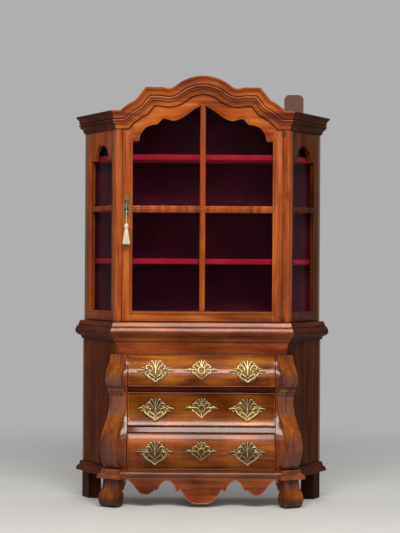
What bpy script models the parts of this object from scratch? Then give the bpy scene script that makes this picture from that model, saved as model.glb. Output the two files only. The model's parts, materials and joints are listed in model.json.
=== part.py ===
"""Glazed china cabinet on a swelled three-drawer chest.

Metres, +Z up, the front faces -Y. The plan is a trapezium: a flat front, two canted sides
and a flat back. While the pieces are made, y = 0 is the front of the upper case; at the end
everything moves so that the origin is the bottom centre of the whole cabinet.
"""

import math

import bmesh
import bpy
from mathutils import Matrix, Vector

COLLECTION_NAME = "china_cabinet"

# Clearances
GAP = 0.0003
DOOR_GAP = 0.0018
ARCH_GAP = 0.0035
DRAWER_GAP = 0.0015
KEY_CLEARANCE = 0.0007

# Plan of the upper case, and the small step out to the lower case
FRONT_HALF = 0.346
REAR_HALF = 0.4895
CASE_DEPTH = 0.250
LOWER_STEP = 0.004
BACK_THICKNESS = 0.0117

# Levels
UPPER_FLOOR_Z = 0.735
SHOULDER_Z = 1.508
WAIST_LOW_Z = 0.659
FRIEZE_LOW_Z = 0.6065
CASE_FOOT_Z = 0.105

# Outline of the arched header, right half, measured from the centre line
SHOULDER_X = 0.299
FOOT_OF_STEP = (0.2246, 1.565)
HEAD_OF_STEP = (0.195, 1.601)
LEDGE_END_X = 0.1693
STEP_BULGE = 0.0055
DIP_RADIUS = 0.112
DIP_START_SLOPE = math.radians(16.0)
ARCH_SLOPE = math.radians(40.0)

# Cornice
CORNICE_HEIGHT = 0.070
CORNICE_REACH = 0.0333
ROOF_TOP = 0.060
ROOF_THICKNESS = 0.012

# Upper case pieces
FACE_THICKNESS = 0.024
POST_INNER_X = 0.3225
SIDE_THICKNESS = 0.018
PANE_THICKNESS = 0.003
PANE_LAP = 0.008
SIDE_FRONT_STILE = 0.012
SIDE_REAR_STILE = 0.049
SIDE_OPENING_LOW_Z = 0.777
SIDE_SHOULDER_Z = 1.388
SIDE_ARCH_SHOULDER = 0.0305
SIDE_BAR_Z = 1.192
SIDE_BAR_HEIGHT = 0.020
FLOOR_FRAME_HEIGHT = 0.040
FLOOR_BOARD = 0.018
FLOOR_RIM = 0.030
SHELF_TOPS = (0.989, 1.201, 1.408)
SHELF_THICKNESS = 0.021
SHELF_FRONT_Y = 0.036
UPSTAND_X = (0.338, 0.417)
UPSTAND_HEIGHT = 0.1057
UPSTAND_THICKNESS = 0.014
UPSTAND_CORNER = 0.020

# Door
DOOR_THICKNESS = 0.018
DOOR_STILE = 0.0402
DOOR_TOP_RAIL = 0.045
DOOR_BOTTOM_RAIL = 0.040
DOOR_FOOT_GAP = 0.002
BAR_WIDTH = 0.022
CROSS_BAR_Z = 1.187
CROSS_BAR_HEIGHT = 0.028
HINGE_RADIUS = 0.0042
HINGE_HEIGHT = 0.025
HINGE_LEAF = 0.001
HINGE_LEAF_DEPTH = 0.018

# Lock, key and tassel, on the left stile
LOCK_X = -0.3035
LOCK_Z = 1.193
LOCK_SIZE = (0.028, 0.014, 0.060)
BOLT_SIZE = (0.024, 0.006, 0.014)
DOOR_PLATE_CENTRE_Z = 1.195
KEY_RADIUS = 0.0022
BOW_RADIUS = 0.0085
BOW_WIRE = 0.0017
HANG_Y = -0.0215
CORD_DIAMETER = 0.0024
CORD_POINTS = 10
TASSEL_TOP_Z = 1.127
TASSEL_HEIGHT = 0.083
TASSEL_RADIUS = 0.0165

# Scroll trusses on the front corners; swell is measured outwards along the diagonal
TRUSS_X = 0.3295
TRUSS_Y = 0.018
TRUSS_WIDTH = 0.074
TRUSS_BACK = -0.002
TRUSS_TOP_Z = 0.6055
TRUSS_TOP_SWELL = 0.010
TONGUE_TOP_Z = 0.655
UPPER_PEAK_Z = 0.505
UPPER_PEAK_SWELL = 0.050
UPPER_ROLL_END = (0.040, 0.4785)
COLLAR = ((0.030, 0.4745), (0.032, 0.4585), (0.024, 0.4575), (0.024, 0.4470))
NECK_TOP_Z = 0.440
NECK_Z = 0.410
NECK_SWELL = 0.017
LOWER_PEAK_Z = 0.240
LOWER_PEAK_SWELL = 0.086
TRUSS_FOOT_SWELL = 0.050

# Drawers: bottom and top level of each front, top drawer first
DRAWER_LEVELS = ((0.4785, 0.6050), (0.3225, 0.4550), (0.1480, 0.2960))
DRAWER_HALF = 0.2935
STILE_INNER_X = 0.2955
DRAWER_BACK_Y = 0.010
BOX_HALF = 0.284
BOX_REAR_GAP = 0.0118
BOX_WALL = 0.010
BOX_TOP_DROP = 0.022
COCK_BEAD = 0.0042
COCK_BEAD_RAISE = 0.0024
STILE_BACK_Y = 0.034

# Brass on the drawers
PULL_X = 0.183
PULL_DROP = 0.004
PLATE_THICKNESS = 0.0016
PROFILE_STEP = 0.010
POST_SPACING = 0.034
POST_RADIUS = 0.0042
BAIL_RADIUS = 0.0027
BAIL_DROP = 0.050
BAIL_STANDOFF = 0.0075

# Base
SIDE_BOARD = 0.030
BASE_BOARD_Z = (0.1265, 0.1465)
BASE_FRONT_Y = -0.041
BLOCK_CORE_HALF = 0.033
BLOCK_CORE_SWELL = 0.053
PLINTH_Z = 0.1125
PLINTH_HEIGHT = 0.038
APRON_FRONT_Y = -0.046
APRON_THICKNESS = 0.018
APRON_HALF = 0.305
APRON_END_Z = 0.1120
APRON_NOTCH_HALF = 0.288
APRON_BEAD = 0.0035
STRIP_Z = 0.1243
STRIP_INSET = 0.002
FOOT_TOP_SWELL = 0.060
FOOT_ROLL_RADIUS = 0.037
FOOT_ROLL_SWELL = 0.055
FOOT_BACK_SWELL = 0.0
REAR_FOOT_SIZE = (0.060, 0.045)
CURVE_STEPS = 6

FRONT = Vector((0.0, -1.0))
SIDE_RUN = Vector((REAR_HALF - FRONT_HALF, CASE_DEPTH))
SIDE_LENGTH = SIDE_RUN.length
SIDE_ALONG = SIDE_RUN.normalized()
SIDE_OUT = Vector((SIDE_ALONG.y, -SIDE_ALONG.x))
MITRE_X = (FRONT + SIDE_OUT).x / (1.0 + FRONT.dot(SIDE_OUT))
TRUSS_OUT = (FRONT + SIDE_OUT).normalized()
TRUSS_ALONG = Vector((-TRUSS_OUT.y, TRUSS_OUT.x))
TRUSS_HALF = TRUSS_WIDTH / 2
BACK_FRONT_Y = CASE_DEPTH - BACK_THICKNESS
BACK_SEAT_Y = BACK_FRONT_Y - GAP
BOX_REAR_Y = BACK_FRONT_Y - BOX_REAR_GAP
TRUSS_FOOT_Z = PLINTH_Z + PLINTH_HEIGHT + GAP
AXIS_X = POST_INNER_X - 0.0001
AXIS_Y = -HINGE_RADIUS - GAP
DOOR_HALF = POST_INNER_X - DOOR_GAP
DOOR_LOW_Z = UPPER_FLOOR_Z + DOOR_FOOT_GAP

MATERIAL_VALUES = {
    "front_wood": ((0.45, 0.13, 0.035), 0.25, 0.0),
    "side_wood": ((0.16, 0.045, 0.02), 0.3, 0.0),
    "inner_wood": ((0.30, 0.15, 0.07), 0.6, 0.0),
    "brass": ((0.80, 0.62, 0.30), 0.28, 1.0),
    "velvet": ((0.35, 0.01, 0.03), 0.9, 0.0),
    "glass": ((0.80, 0.86, 0.86), 0.05, 0.0),
    "ivory_thread": ((0.80, 0.74, 0.58), 0.85, 0.0),
    "lock_steel": ((0.35, 0.34, 0.33), 0.4, 1.0),
}


def clear_scene():
    """Removes what a new file holds."""
    for item in list(bpy.data.objects):
        bpy.data.objects.remove(item, do_unlink=True)


def make_materials():
    """One Principled material for each finish."""
    made = {}
    for name, (color, roughness, metallic) in MATERIAL_VALUES.items():
        material = bpy.data.materials.new(name)
        material.use_nodes = True
        shader = material.node_tree.nodes["Principled BSDF"]
        shader.inputs["Base Color"].default_value = (*color, 1.0)
        shader.inputs["Roughness"].default_value = roughness
        shader.inputs["Metallic"].default_value = metallic
        material.diffuse_color = (*color, 1.0)
        made[name] = material
    return made


clear_scene()
COLLECTION = bpy.data.collections.new(COLLECTION_NAME)
bpy.context.scene.collection.children.link(COLLECTION)
MATERIALS = make_materials()


def place(mesh, name, material=None):
    """An object holding the mesh, in the cabinet's collection."""
    piece = bpy.data.objects.new(name, mesh)
    COLLECTION.objects.link(piece)
    mesh.materials.clear()
    if material:
        own = MATERIALS[material].copy()
        own.name = name + "_" + material
        mesh.materials.append(own)
    return piece


def evaluated_mesh(piece):
    """The piece's mesh as its modifiers leave it, in world space."""
    bpy.context.view_layer.update()
    graph = bpy.context.evaluated_depsgraph_get()
    mesh = bpy.data.meshes.new_from_object(piece.evaluated_get(graph))
    mesh.transform(piece.matrix_world)
    return mesh


def combine(piece, other, operation):
    """Applies an exact Boolean with the other piece, which is then removed."""
    modifier = piece.modifiers.new("boolean", "BOOLEAN")
    modifier.operation = operation
    modifier.solver = "EXACT"
    modifier.object = other
    mesh = evaluated_mesh(piece)
    piece.modifiers.clear()
    piece.data = mesh
    piece.matrix_world = Matrix.Identity(4)
    bpy.data.objects.remove(other, do_unlink=True)
    return piece


def cut(piece, *others):
    for other in others:
        combine(piece, other, "DIFFERENCE")
    return piece


def join(piece, *others):
    for other in others:
        combine(piece, other, "UNION")
    return piece


def common(piece, other):
    return combine(piece, other, "INTERSECT")


def block(low, high, name="block", material=None):
    """A box between two corners."""
    shape = bmesh.new()
    bmesh.ops.create_cube(shape, size=1.0)
    size = [high[i] - low[i] for i in range(3)]
    middle = [(high[i] + low[i]) / 2 for i in range(3)]
    bmesh.ops.transform(shape, verts=shape.verts, matrix=Matrix.Diagonal((*size, 1.0)))
    bmesh.ops.translate(shape, verts=shape.verts, vec=middle)
    mesh = bpy.data.meshes.new(name)
    shape.to_mesh(mesh)
    shape.free()
    return place(mesh, name, material)


def rod(start, end, radius, sides=16, name="rod", material=None):
    """A cylinder between two points."""
    start = Vector(start)
    run = Vector(end) - start
    shape = bmesh.new()
    bmesh.ops.create_cone(
        shape, cap_ends=True, segments=sides, radius1=radius, radius2=radius, depth=run.length
    )
    turn = Vector((0, 0, 1)).rotation_difference(run.normalized()).to_matrix().to_4x4()
    bmesh.ops.transform(shape, verts=shape.verts, matrix=Matrix.Translation(start + run / 2) @ turn)
    mesh = bpy.data.meshes.new(name)
    shape.to_mesh(mesh)
    shape.free()
    return place(mesh, name, material)


def cutout(loops, low, high, basis, name="cutout", material=None):
    """A flat outline with or without holes, given a thickness from low to high.

    The loops are lists of (u, v); basis holds the origin and the u, v and w directions.
    A flat face without holes ends as one face.
    """
    curve = bpy.data.curves.new(name, "CURVE")
    curve.dimensions = "2D"
    curve.fill_mode = "BOTH"
    curve.extrude = (high - low) / 2
    for loop in loops:
        spline = curve.splines.new("POLY")
        spline.points.add(len(loop) - 1)
        for point, (u, v) in zip(spline.points, loop):
            point.co = (u, v, 0.0, 1.0)
        spline.use_cyclic_u = True
    outline = bpy.data.objects.new(name, curve)
    COLLECTION.objects.link(outline)
    mesh = evaluated_mesh(outline)
    bpy.data.objects.remove(outline, do_unlink=True)
    origin, along_u, along_v, along_w = (Vector(item) for item in basis)
    matrix = Matrix.Identity(4)
    for column, axis in enumerate((along_u, along_v, along_w)):
        for row in range(3):
            matrix[row][column] = axis[row]
    matrix.translation = origin + along_w * (low + high) / 2
    shape = bmesh.new()
    shape.from_mesh(mesh)
    bmesh.ops.remove_doubles(shape, verts=shape.verts, dist=1e-6)
    bmesh.ops.transform(shape, verts=shape.verts, matrix=matrix)
    bmesh.ops.recalc_face_normals(shape, faces=shape.faces)
    if len(loops) == 1:
        bmesh.ops.dissolve_limit(shape, angle_limit=0.0005, verts=shape.verts, edges=shape.edges)
    shape.to_mesh(mesh)
    shape.free()
    return place(mesh, name, material)


def pierce(piece, loops, basis):
    """Cuts each outline right through the piece."""
    return cut(piece, *(cutout([loop], -1, 1, basis) for loop in loops))


PLAN = ((0, 0, 0), (1, 0, 0), (0, 1, 0), (0, 0, 1))
FRONTAL = ((0, 0, 0), (1, 0, 0), (0, 0, 1), (0, 1, 0))
SECTION = ((0, 0, 0), (0, 1, 0), (0, 0, 1), (1, 0, 0))


def truss_basis(side):
    """u runs outwards along the diagonal, v up, w along the width, for side -1 or 1."""
    origin = (side * TRUSS_X, TRUSS_Y, 0)
    outwards = (side * TRUSS_OUT.x, TRUSS_OUT.y, 0)
    across = (side * TRUSS_ALONG.x, TRUSS_ALONG.y, 0)
    return origin, outwards, (0, 0, 1), across


def canted_basis(side, step=0.0):
    """u runs back along the canted side, v up, w out of the case, for side -1 or 1."""
    corner = plan_corner(step)
    origin = (side * corner.x, corner.y, 0)
    return origin, (side * SIDE_ALONG.x, SIDE_ALONG.y, 0), (0, 0, 1), (side * SIDE_OUT.x, SIDE_OUT.y, 0)


def plan_corner(step):
    """Front right corner of the plan, moved outwards by step."""
    return Vector((FRONT_HALF + step * MITRE_X, -step))


def rear_x(step, y=CASE_DEPTH):
    """Half width of the plan at depth y, with the canted sides moved outwards by step."""
    corner = plan_corner(step)
    return corner.x + (y - corner.y) * SIDE_ALONG.x / SIDE_ALONG.y


def plan_loop(step, front_y=None, back_y=CASE_DEPTH):
    """The trapezium with its canted sides moved outwards by step."""
    front_y = -step if front_y is None else front_y
    return [
        (-rear_x(step, front_y), front_y),
        (rear_x(step, front_y), front_y),
        (rear_x(step, back_y), back_y),
        (-rear_x(step, back_y), back_y),
    ]


def board(name, material, step, low_z, high_z, front_y=None, back_y=CASE_DEPTH):
    """A horizontal board with the shape of the plan."""
    return cutout([plan_loop(step, front_y, back_y)], low_z, high_z, PLAN, name, material)


def arc_points(start, end, bulge, steps=CURVE_STEPS):
    """Points of an arc from start to end whose middle stands off the chord by bulge."""
    start = Vector(start)
    end = Vector(end)
    chord = end - start
    radius = (chord.length ** 2 / 4 + bulge ** 2) / (2 * abs(bulge))
    left = Vector((-chord.y, chord.x)).normalized()
    centre = (start + end) / 2 + left * (bulge - math.copysign(radius, bulge))
    sweep = 2 * math.asin(chord.length / 2 / radius)
    turn = -math.copysign(sweep, bulge)
    spoke = start - centre
    return [
        centre + Matrix.Rotation(turn * i / steps, 2) @ spoke
        for i in range(steps + 1)
    ]


def header_line():
    """The arched underside of the cornice, from the left shoulder to the right."""
    right = [Vector((FRONT_HALF, SHOULDER_Z)), Vector((SHOULDER_X, SHOULDER_Z))]
    right += arc_points(right[-1], FOOT_OF_STEP, -STEP_BULGE, CURVE_STEPS // 2)[1:]
    right.append(Vector(HEAD_OF_STEP))
    ledge = Vector((LEDGE_END_X, HEAD_OF_STEP[1]))
    right.append(ledge)
    sweep = DIP_START_SLOPE + ARCH_SLOPE
    for i in range(1, CURVE_STEPS + 1):
        slope = -DIP_START_SLOPE + sweep * i / CURVE_STEPS
        rise = math.cos(DIP_START_SLOPE) - math.cos(slope)
        run = math.sin(DIP_START_SLOPE) + math.sin(slope)
        right.append(ledge + Vector((-run, rise)) * DIP_RADIUS)
    foot = right[-1]
    radius = foot.x / math.sin(ARCH_SLOPE)
    for i in range(1, CURVE_STEPS + 1):
        slope = ARCH_SLOPE * (1 - i / CURVE_STEPS)
        right.append(Vector((
            radius * math.sin(slope),
            foot.y + radius * (math.cos(slope) - math.cos(ARCH_SLOPE)),
        )))
    left = [Vector((-point.x, point.y)) for point in right[:-1]]
    return left + right[::-1]


def normals(points):
    """Mitre vector at each point of an open line: one unit of offset to its left."""
    made = []
    for i, point in enumerate(points):
        sides = []
        for a, b in ((i - 1, i), (i, i + 1)):
            if a >= 0 and b < len(points):
                run = (points[b] - points[a]).normalized()
                sides.append(Vector((-run.y, run.x)))
        if len(sides) == 1:
            made.append(sides[0])
        else:
            made.append((sides[0] + sides[1]) / (1.0 + sides[0].dot(sides[1])))
    return made


def offset_line(points, distance):
    """The line moved to its left by the distance, with mitred corners."""
    return [point + normal * distance for point, normal in zip(points, normals(points))]


def header_offset(distance):
    """The header line moved up by the distance; a ledge that the offset folds becomes a point."""
    made = []
    for point in offset_line(header_line(), distance):
        if made and point.x <= made[-1].x:
            made[-1] = Vector(((made[-1].x + point.x) / 2, max(made[-1].y, point.y)))
        else:
            made.append(point)
    return made


def clip_line(points, low_x, high_x):
    """The part of a left-to-right line between two x values."""
    def at(x):
        for a, b in zip(points, points[1:]):
            if a.x <= x <= b.x:
                return Vector((x, a.y + (b.y - a.y) * (x - a.x) / (b.x - a.x)))
        nearest = points[0] if x < points[0].x else points[-1]
        return Vector((x, nearest.y))
    inside = [point for point in points if low_x + GAP < point.x < high_x - GAP]
    return [at(low_x)] + inside + [at(high_x)]


def smooth_line(points, steps=3):
    """A Catmull-Rom curve through the points."""
    points = [Vector(point) for point in points]
    padded = [points[0] * 2 - points[1]] + points + [points[-1] * 2 - points[-2]]
    made = [points[0]]
    for a, b, c, d in zip(padded, padded[1:], padded[2:], padded[3:]):
        for i in range(1, steps + 1):
            t = i / steps
            made.append(0.5 * (2 * b + (c - a) * t + (2 * a - 5 * b + 4 * c - d) * t ** 2
                               + (3 * b - a - 3 * c + d) * t ** 3))
    return made


def loft(name, material, profile, stations):
    """A moulding: one closed profile of (out, up) carried through mitred stations.

    Each station has an origin and the directions of out and up, so corners stay true
    mitres, which a bevelled curve can't give. The faces join ring to ring.
    """
    shape = bmesh.new()
    rings = []
    for origin, out_way, up_way in stations:
        origin, out_way, up_way = Vector(origin), Vector(out_way), Vector(up_way)
        rings.append([shape.verts.new(origin + out_way * out + up_way * up) for out, up in profile])
    count = len(profile)
    for ring, after in zip(rings, rings[1:]):
        for i in range(count):
            j = (i + 1) % count
            shape.faces.new((ring[i], ring[j], after[j], after[i]))
    shape.faces.new(rings[0])
    shape.faces.new(rings[-1])
    bmesh.ops.recalc_face_normals(shape, faces=shape.faces)
    mesh = bpy.data.meshes.new(name)
    shape.to_mesh(mesh)
    shape.free()
    return place(mesh, name, material)


def tube(points, radius, name="tube", material=None, cyclic=False, resolution=2):
    """A round bar along the points, as a mesh."""
    curve = bpy.data.curves.new(name, "CURVE")
    curve.dimensions = "3D"
    curve.bevel_depth = radius
    curve.bevel_resolution = resolution
    curve.use_fill_caps = not cyclic
    spline = curve.splines.new("POLY")
    spline.points.add(len(points) - 1)
    for point, place_at in zip(spline.points, points):
        point.co = (*place_at, 1.0)
    spline.use_cyclic_u = cyclic
    wire = bpy.data.objects.new(name, curve)
    COLLECTION.objects.link(wire)
    mesh = evaluated_mesh(wire)
    bpy.data.objects.remove(wire, do_unlink=True)
    shape = bmesh.new()
    shape.from_mesh(mesh)
    bmesh.ops.remove_doubles(shape, verts=shape.verts, dist=1e-6)
    bmesh.ops.recalc_face_normals(shape, faces=shape.faces)
    shape.to_mesh(mesh)
    shape.free()
    mesh.shade_smooth()
    return place(mesh, name, material)


def ease(start, end, part):
    """Goes from start to end with level ends, as part goes from 0 to 1."""
    return start + (end - start) * (1 - math.cos(math.pi * part)) / 2


def lower_swell(z):
    """Swell of the front below the neck."""
    if z >= NECK_Z:
        return NECK_SWELL
    if z >= LOWER_PEAK_Z:
        return ease(NECK_SWELL, LOWER_PEAK_SWELL, (NECK_Z - z) / (NECK_Z - LOWER_PEAK_Z))
    part = min((LOWER_PEAK_Z - z) / (LOWER_PEAK_Z - TRUSS_FOOT_Z), 1.0)
    return TRUSS_FOOT_SWELL + (LOWER_PEAK_SWELL - TRUSS_FOOT_SWELL) * math.cos(math.pi / 2 * part)


def swell(z):
    """How far the front swells at a level, measured along the diagonal."""
    if z >= TRUSS_TOP_Z:
        return TRUSS_TOP_SWELL
    if z >= UPPER_PEAK_Z:
        part = (TRUSS_TOP_Z - z) / (TRUSS_TOP_Z - UPPER_PEAK_Z)
        return ease(TRUSS_TOP_SWELL, UPPER_PEAK_SWELL, part)
    if z >= NECK_TOP_Z:
        part = (UPPER_PEAK_Z - z) / (UPPER_PEAK_Z - NECK_TOP_Z)
        return ease(UPPER_PEAK_SWELL, NECK_SWELL, part)
    return lower_swell(z)


def levels(low, high):
    """The two levels and every whole profile step between them."""
    first = math.floor(low / PROFILE_STEP) + 1
    last = math.ceil(high / PROFILE_STEP)
    between = [PROFILE_STEP * i for i in range(first, last)]
    return [low] + [z for z in between if low + GAP < z < high - GAP] + [high]


def front_y(z):
    """Depth of the swelled front at a level, straight between whole profile steps."""
    def true_y(level):
        return -LOWER_STEP + TRUSS_OUT.y * (swell(level) - TRUSS_TOP_SWELL)
    below = math.floor(z / PROFILE_STEP)
    share = z / PROFILE_STEP - below
    return true_y(below * PROFILE_STEP) * (1 - share) + true_y((below + 1) * PROFILE_STEP) * share


def swelled_section(low, high, back_y, raise_by=0.0):
    """Section (y, z) of a piece whose front follows the swell."""
    front = [(front_y(z) - raise_by, z) for z in levels(low, high)]
    return [(back_y, low)] + front + [(back_y, high)]


def moved(piece, pivot):
    """Puts the piece's origin on the pivot without moving its surface."""
    pivot = Vector(pivot)
    piece.data.transform(Matrix.Translation(-pivot))
    piece.location = pivot
    return piece


SIDE_NAMES = ((-1, "left"), (1, "right"))
TRUSS_BASE = Vector((TRUSS_X, TRUSS_Y))
LOWER_CORNER = plan_corner(LOWER_STEP)
TONGUE_SWELL = (LOWER_CORNER - TRUSS_BASE).dot(TRUSS_OUT)
MITRE_ACROSS = (LOWER_CORNER - TRUSS_BASE).dot(TRUSS_ALONG)


def truss_point(out, across):
    """Plan point at a swell and a distance across the right-hand truss."""
    return TRUSS_BASE + TRUSS_OUT * out + TRUSS_ALONG * across


def cross(start, way, other, other_way):
    """Where two plan lines meet."""
    step = other - start
    share = (step.x * other_way.y - step.y * other_way.x) / (way.x * other_way.y - way.y * other_way.x)
    return start + way * share


def truss_pocket(side):
    """Space that a truss and its tongue take out of the corner of the lower case."""
    back = TRUSS_BACK - GAP
    top = TRUSS_TOP_Z + GAP
    reach = LOWER_PEAK_SWELL * 2
    outline = [
        (back, CASE_FOOT_Z - GAP), (back, top), (TRUSS_TOP_SWELL, top),
        (TONGUE_SWELL, TONGUE_TOP_Z), (reach, TONGUE_TOP_Z), (reach, CASE_FOOT_Z - GAP),
    ]
    half = TRUSS_HALF + GAP
    return cutout([outline], -half, half, truss_basis(side))


def make_lower_sides():
    """Two canted boards, mitred at the front corner and notched for the trusses."""
    for side, word in SIDE_NAMES:
        outer, inner = LOWER_STEP, LOWER_STEP - SIDE_BOARD
        shift = SIDE_ALONG * GAP
        loop = [
            plan_corner(outer) + shift,
            Vector((rear_x(outer, BACK_SEAT_Y), BACK_SEAT_Y)),
            Vector((rear_x(inner, BACK_SEAT_Y), BACK_SEAT_Y)),
            plan_corner(inner) + shift,
        ]
        loop = [(side * point.x, point.y) for point in loop]
        low = CASE_FOOT_Z + GAP
        panel = cutout([loop], low, UPPER_FLOOR_Z - GAP, PLAN, word + "_lower_side", "side_wood")
        cut(panel, truss_pocket(side))


def make_front_frame():
    """Two swelled stiles and the frieze, in one frame round the drawers."""
    low = BASE_BOARD_Z[1] + GAP
    high = UPPER_FLOOR_Z - GAP
    section = swelled_section(low, high, STILE_BACK_Y)
    reach = FRONT_HALF + SIDE_BOARD
    frame = cutout([section], -reach, reach, SECTION, "front_frame", "front_wood")
    cut(frame, block((-STILE_INNER_X, -1, 0), (STILE_INNER_X, 1, FRIEZE_LOW_Z)))
    for side, _ in SIDE_NAMES:
        beyond = [(-1, 0), (1, 0), (1, 1), (-1, 1)]
        cut(frame, cutout([beyond], MITRE_ACROSS - GAP, 1, truss_basis(side)))
        cut(frame, truss_pocket(side))


def make_dividers():
    """A swelled rail between each two drawers, with the dust board behind it."""
    names = ("upper_drawer_divider", "lower_drawer_divider")
    half = STILE_INNER_X - GAP
    for name, above, below in zip(names, DRAWER_LEVELS, DRAWER_LEVELS[1:]):
        low = below[1] + DRAWER_GAP
        high = above[0] - DRAWER_GAP
        section = swelled_section(low, high, BACK_SEAT_Y)
        cutout([section], -half, half, SECTION, name, "front_wood")


def truss_section():
    """Scroll outline (out, z): upper roll, two-step collar, long lower scroll."""
    front = [(TRUSS_BACK, TRUSS_TOP_Z)]
    for z in reversed(levels(UPPER_PEAK_Z, TRUSS_TOP_Z)):
        front.append((swell(z), z))
    roll_swell, roll_z = UPPER_ROLL_END
    for i in range(1, CURVE_STEPS // 2 + 1):
        part = 2 * i / CURVE_STEPS
        fall = (UPPER_PEAK_SWELL - roll_swell) * math.cos(math.pi / 2 * part)
        front.append((roll_swell + fall, UPPER_PEAK_Z + (roll_z - UPPER_PEAK_Z) * part))
    front += COLLAR
    for z in reversed(levels(TRUSS_FOOT_Z, COLLAR[-1][1])):
        front.append((lower_swell(z), z))
    return front + [(TRUSS_BACK, TRUSS_FOOT_Z)]


def make_trusses():
    for side, word in SIDE_NAMES:
        cutout([truss_section()], -TRUSS_HALF, TRUSS_HALF, truss_basis(side),
               word + "_truss", "front_wood")


WAIST_PROFILE = (
    (GAP, 0.0), (0.006, 0.0), (0.006, 0.0065), (0.0085, 0.009), (0.0120, 0.0145),
    (0.0185, 0.0195), (0.0235, 0.0215), (0.0235, 0.0245), (0.0260, 0.0255), (0.0283, 0.0300),
    (0.0290, 0.0350), (0.0280, 0.0400), (0.0255, 0.0425), (0.0255, 0.0450), (0.0210, 0.0475),
    (0.0150, 0.0525), (0.0100, 0.0595), (0.0070, 0.0655), (0.0050, 0.0675), (0.0045, 0.0720),
    (0.0020, 0.0755), (GAP, 0.0755),
)
CORNICE_PROFILE = (
    (GAP, 0.0), (0.006, 0.0), (0.006, 0.005), (0.0085, 0.0065), (0.0098, 0.0110),
    (0.0120, 0.0160), (0.0160, 0.0205), (0.0190, 0.0225), (0.0190, 0.0260), (0.0220, 0.0265),
    (0.0220, 0.0300), (0.0246, 0.0312), (0.0262, 0.0345), (0.0262, 0.0380), (0.0246, 0.0410),
    (0.0236, 0.0420), (0.0240, 0.0470), (0.0254, 0.0525), (0.0280, 0.0570), (0.0308, 0.0595),
    (0.0308, 0.0620), (CORNICE_REACH, 0.0625), (CORNICE_REACH, CORNICE_HEIGHT), (GAP, CORNICE_HEIGHT),
)
PLINTH_PROFILE = (
    (0.0, 0.0), (0.0230, 0.0), (0.0230, 0.0085), (0.0215, 0.0100), (0.0215, 0.0125),
    (0.0195, 0.0150), (0.0150, 0.0190), (0.0115, 0.0245), (0.0095, 0.0310), (0.0090, 0.0345),
    (0.0075, PLINTH_HEIGHT), (0.0, PLINTH_HEIGHT),
)
STRIP_PROFILE = (
    (0.0, 0.0), (0.0100, 0.0), (0.0125, 0.0030), (0.0140, 0.0080), (0.0135, 0.0130),
    (0.0105, 0.0165), (0.0060, 0.0180), (0.0, 0.0180),
)


def plan_ends(step, z):
    """Stations of a straight plan moulding: two rear ends and two mitred front corners."""
    up = (0, 0, 1)
    corner = plan_corner(step)
    rear = rear_x(step)
    rear_way = 1.0 / SIDE_OUT.x
    left = [
        ((-rear, CASE_DEPTH, z), (-rear_way, 0, 0), up),
        ((-corner.x, corner.y, z), (-MITRE_X, -1, 0), up),
    ]
    right = [
        ((corner.x, corner.y, z), (MITRE_X, -1, 0), up),
        ((rear, CASE_DEPTH, z), (rear_way, 0, 0), up),
    ]
    return left, right


def make_waist():
    left, right = plan_ends(LOWER_STEP, WAIST_LOW_Z)
    loft("waist_moulding", "front_wood", WAIST_PROFILE, left + right)


def make_cornice():
    """The cornice: canted returns, and a front that rises over the arched header."""
    left, right = plan_ends(0.0, SHOULDER_Z)
    line = header_line()
    front = [
        ((point.x, 0, point.y), (0, -1, 0), (way.x, 0, way.y))
        for point, way in zip(line, normals(line))
    ][1:-1]
    loft("pediment_cornice", "front_wood", CORNICE_PROFILE, left + front + right)


def base_loop():
    """Outline of the base board: cores for the corner blocks, canted sides, flat back."""
    inner = LOWER_STEP - SIDE_BOARD - GAP
    side_start = plan_corner(inner)
    front_start = Vector((0, BASE_FRONT_Y))
    right = [
        cross(front_start, Vector((1, 0)), truss_point(0, -BLOCK_CORE_HALF), TRUSS_OUT),
        truss_point(BLOCK_CORE_SWELL, -BLOCK_CORE_HALF),
        truss_point(BLOCK_CORE_SWELL, BLOCK_CORE_HALF),
        truss_point(TRUSS_BACK, BLOCK_CORE_HALF),
        cross(side_start, SIDE_ALONG, truss_point(TRUSS_BACK, 0), TRUSS_ALONG),
        Vector((rear_x(inner, BACK_SEAT_Y), BACK_SEAT_Y)),
    ]
    left = [Vector((-point.x, point.y)) for point in reversed(right)]
    return right + left


def make_base():
    """Base board, plinth moulding with corner blocks and front strip."""
    cutout([base_loop()], *BASE_BOARD_Z, PLAN, "base_board", "inner_wood")
    outer = LOWER_STEP + GAP
    core = BLOCK_CORE_HALF + GAP
    face = BLOCK_CORE_SWELL + GAP
    front_start = Vector((0, BASE_FRONT_Y - GAP))
    joint = cross(front_start, Vector((1, 0)), truss_point(0, -core), TRUSS_OUT)
    notch = cross(plan_corner(outer), SIDE_ALONG, truss_point(0, core), TRUSS_OUT)
    path = [
        Vector((rear_x(outer), CASE_DEPTH)), notch, truss_point(face, core),
        truss_point(face, -core), joint,
    ]
    outs = normals(path)
    outs[0] = Vector((1.0 / SIDE_OUT.x, 0))
    halves = []
    for side, _ in SIDE_NAMES:
        stations = [
            ((side * point.x, point.y, PLINTH_Z), (side * out.x, out.y, 0), (0, 0, 1))
            for point, out in zip(path, outs)
        ]
        halves.append(loft("plinth_half", None, PLINTH_PROFILE, stations))
    reach = joint.x - STRIP_INSET
    ends = [((x, joint.y, STRIP_Z), (0, -1, 0), (0, 0, 1)) for x in (-reach, reach)]
    strip = loft("plinth_moulding", "front_wood", STRIP_PROFILE, ends)
    join(strip, *halves)


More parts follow.
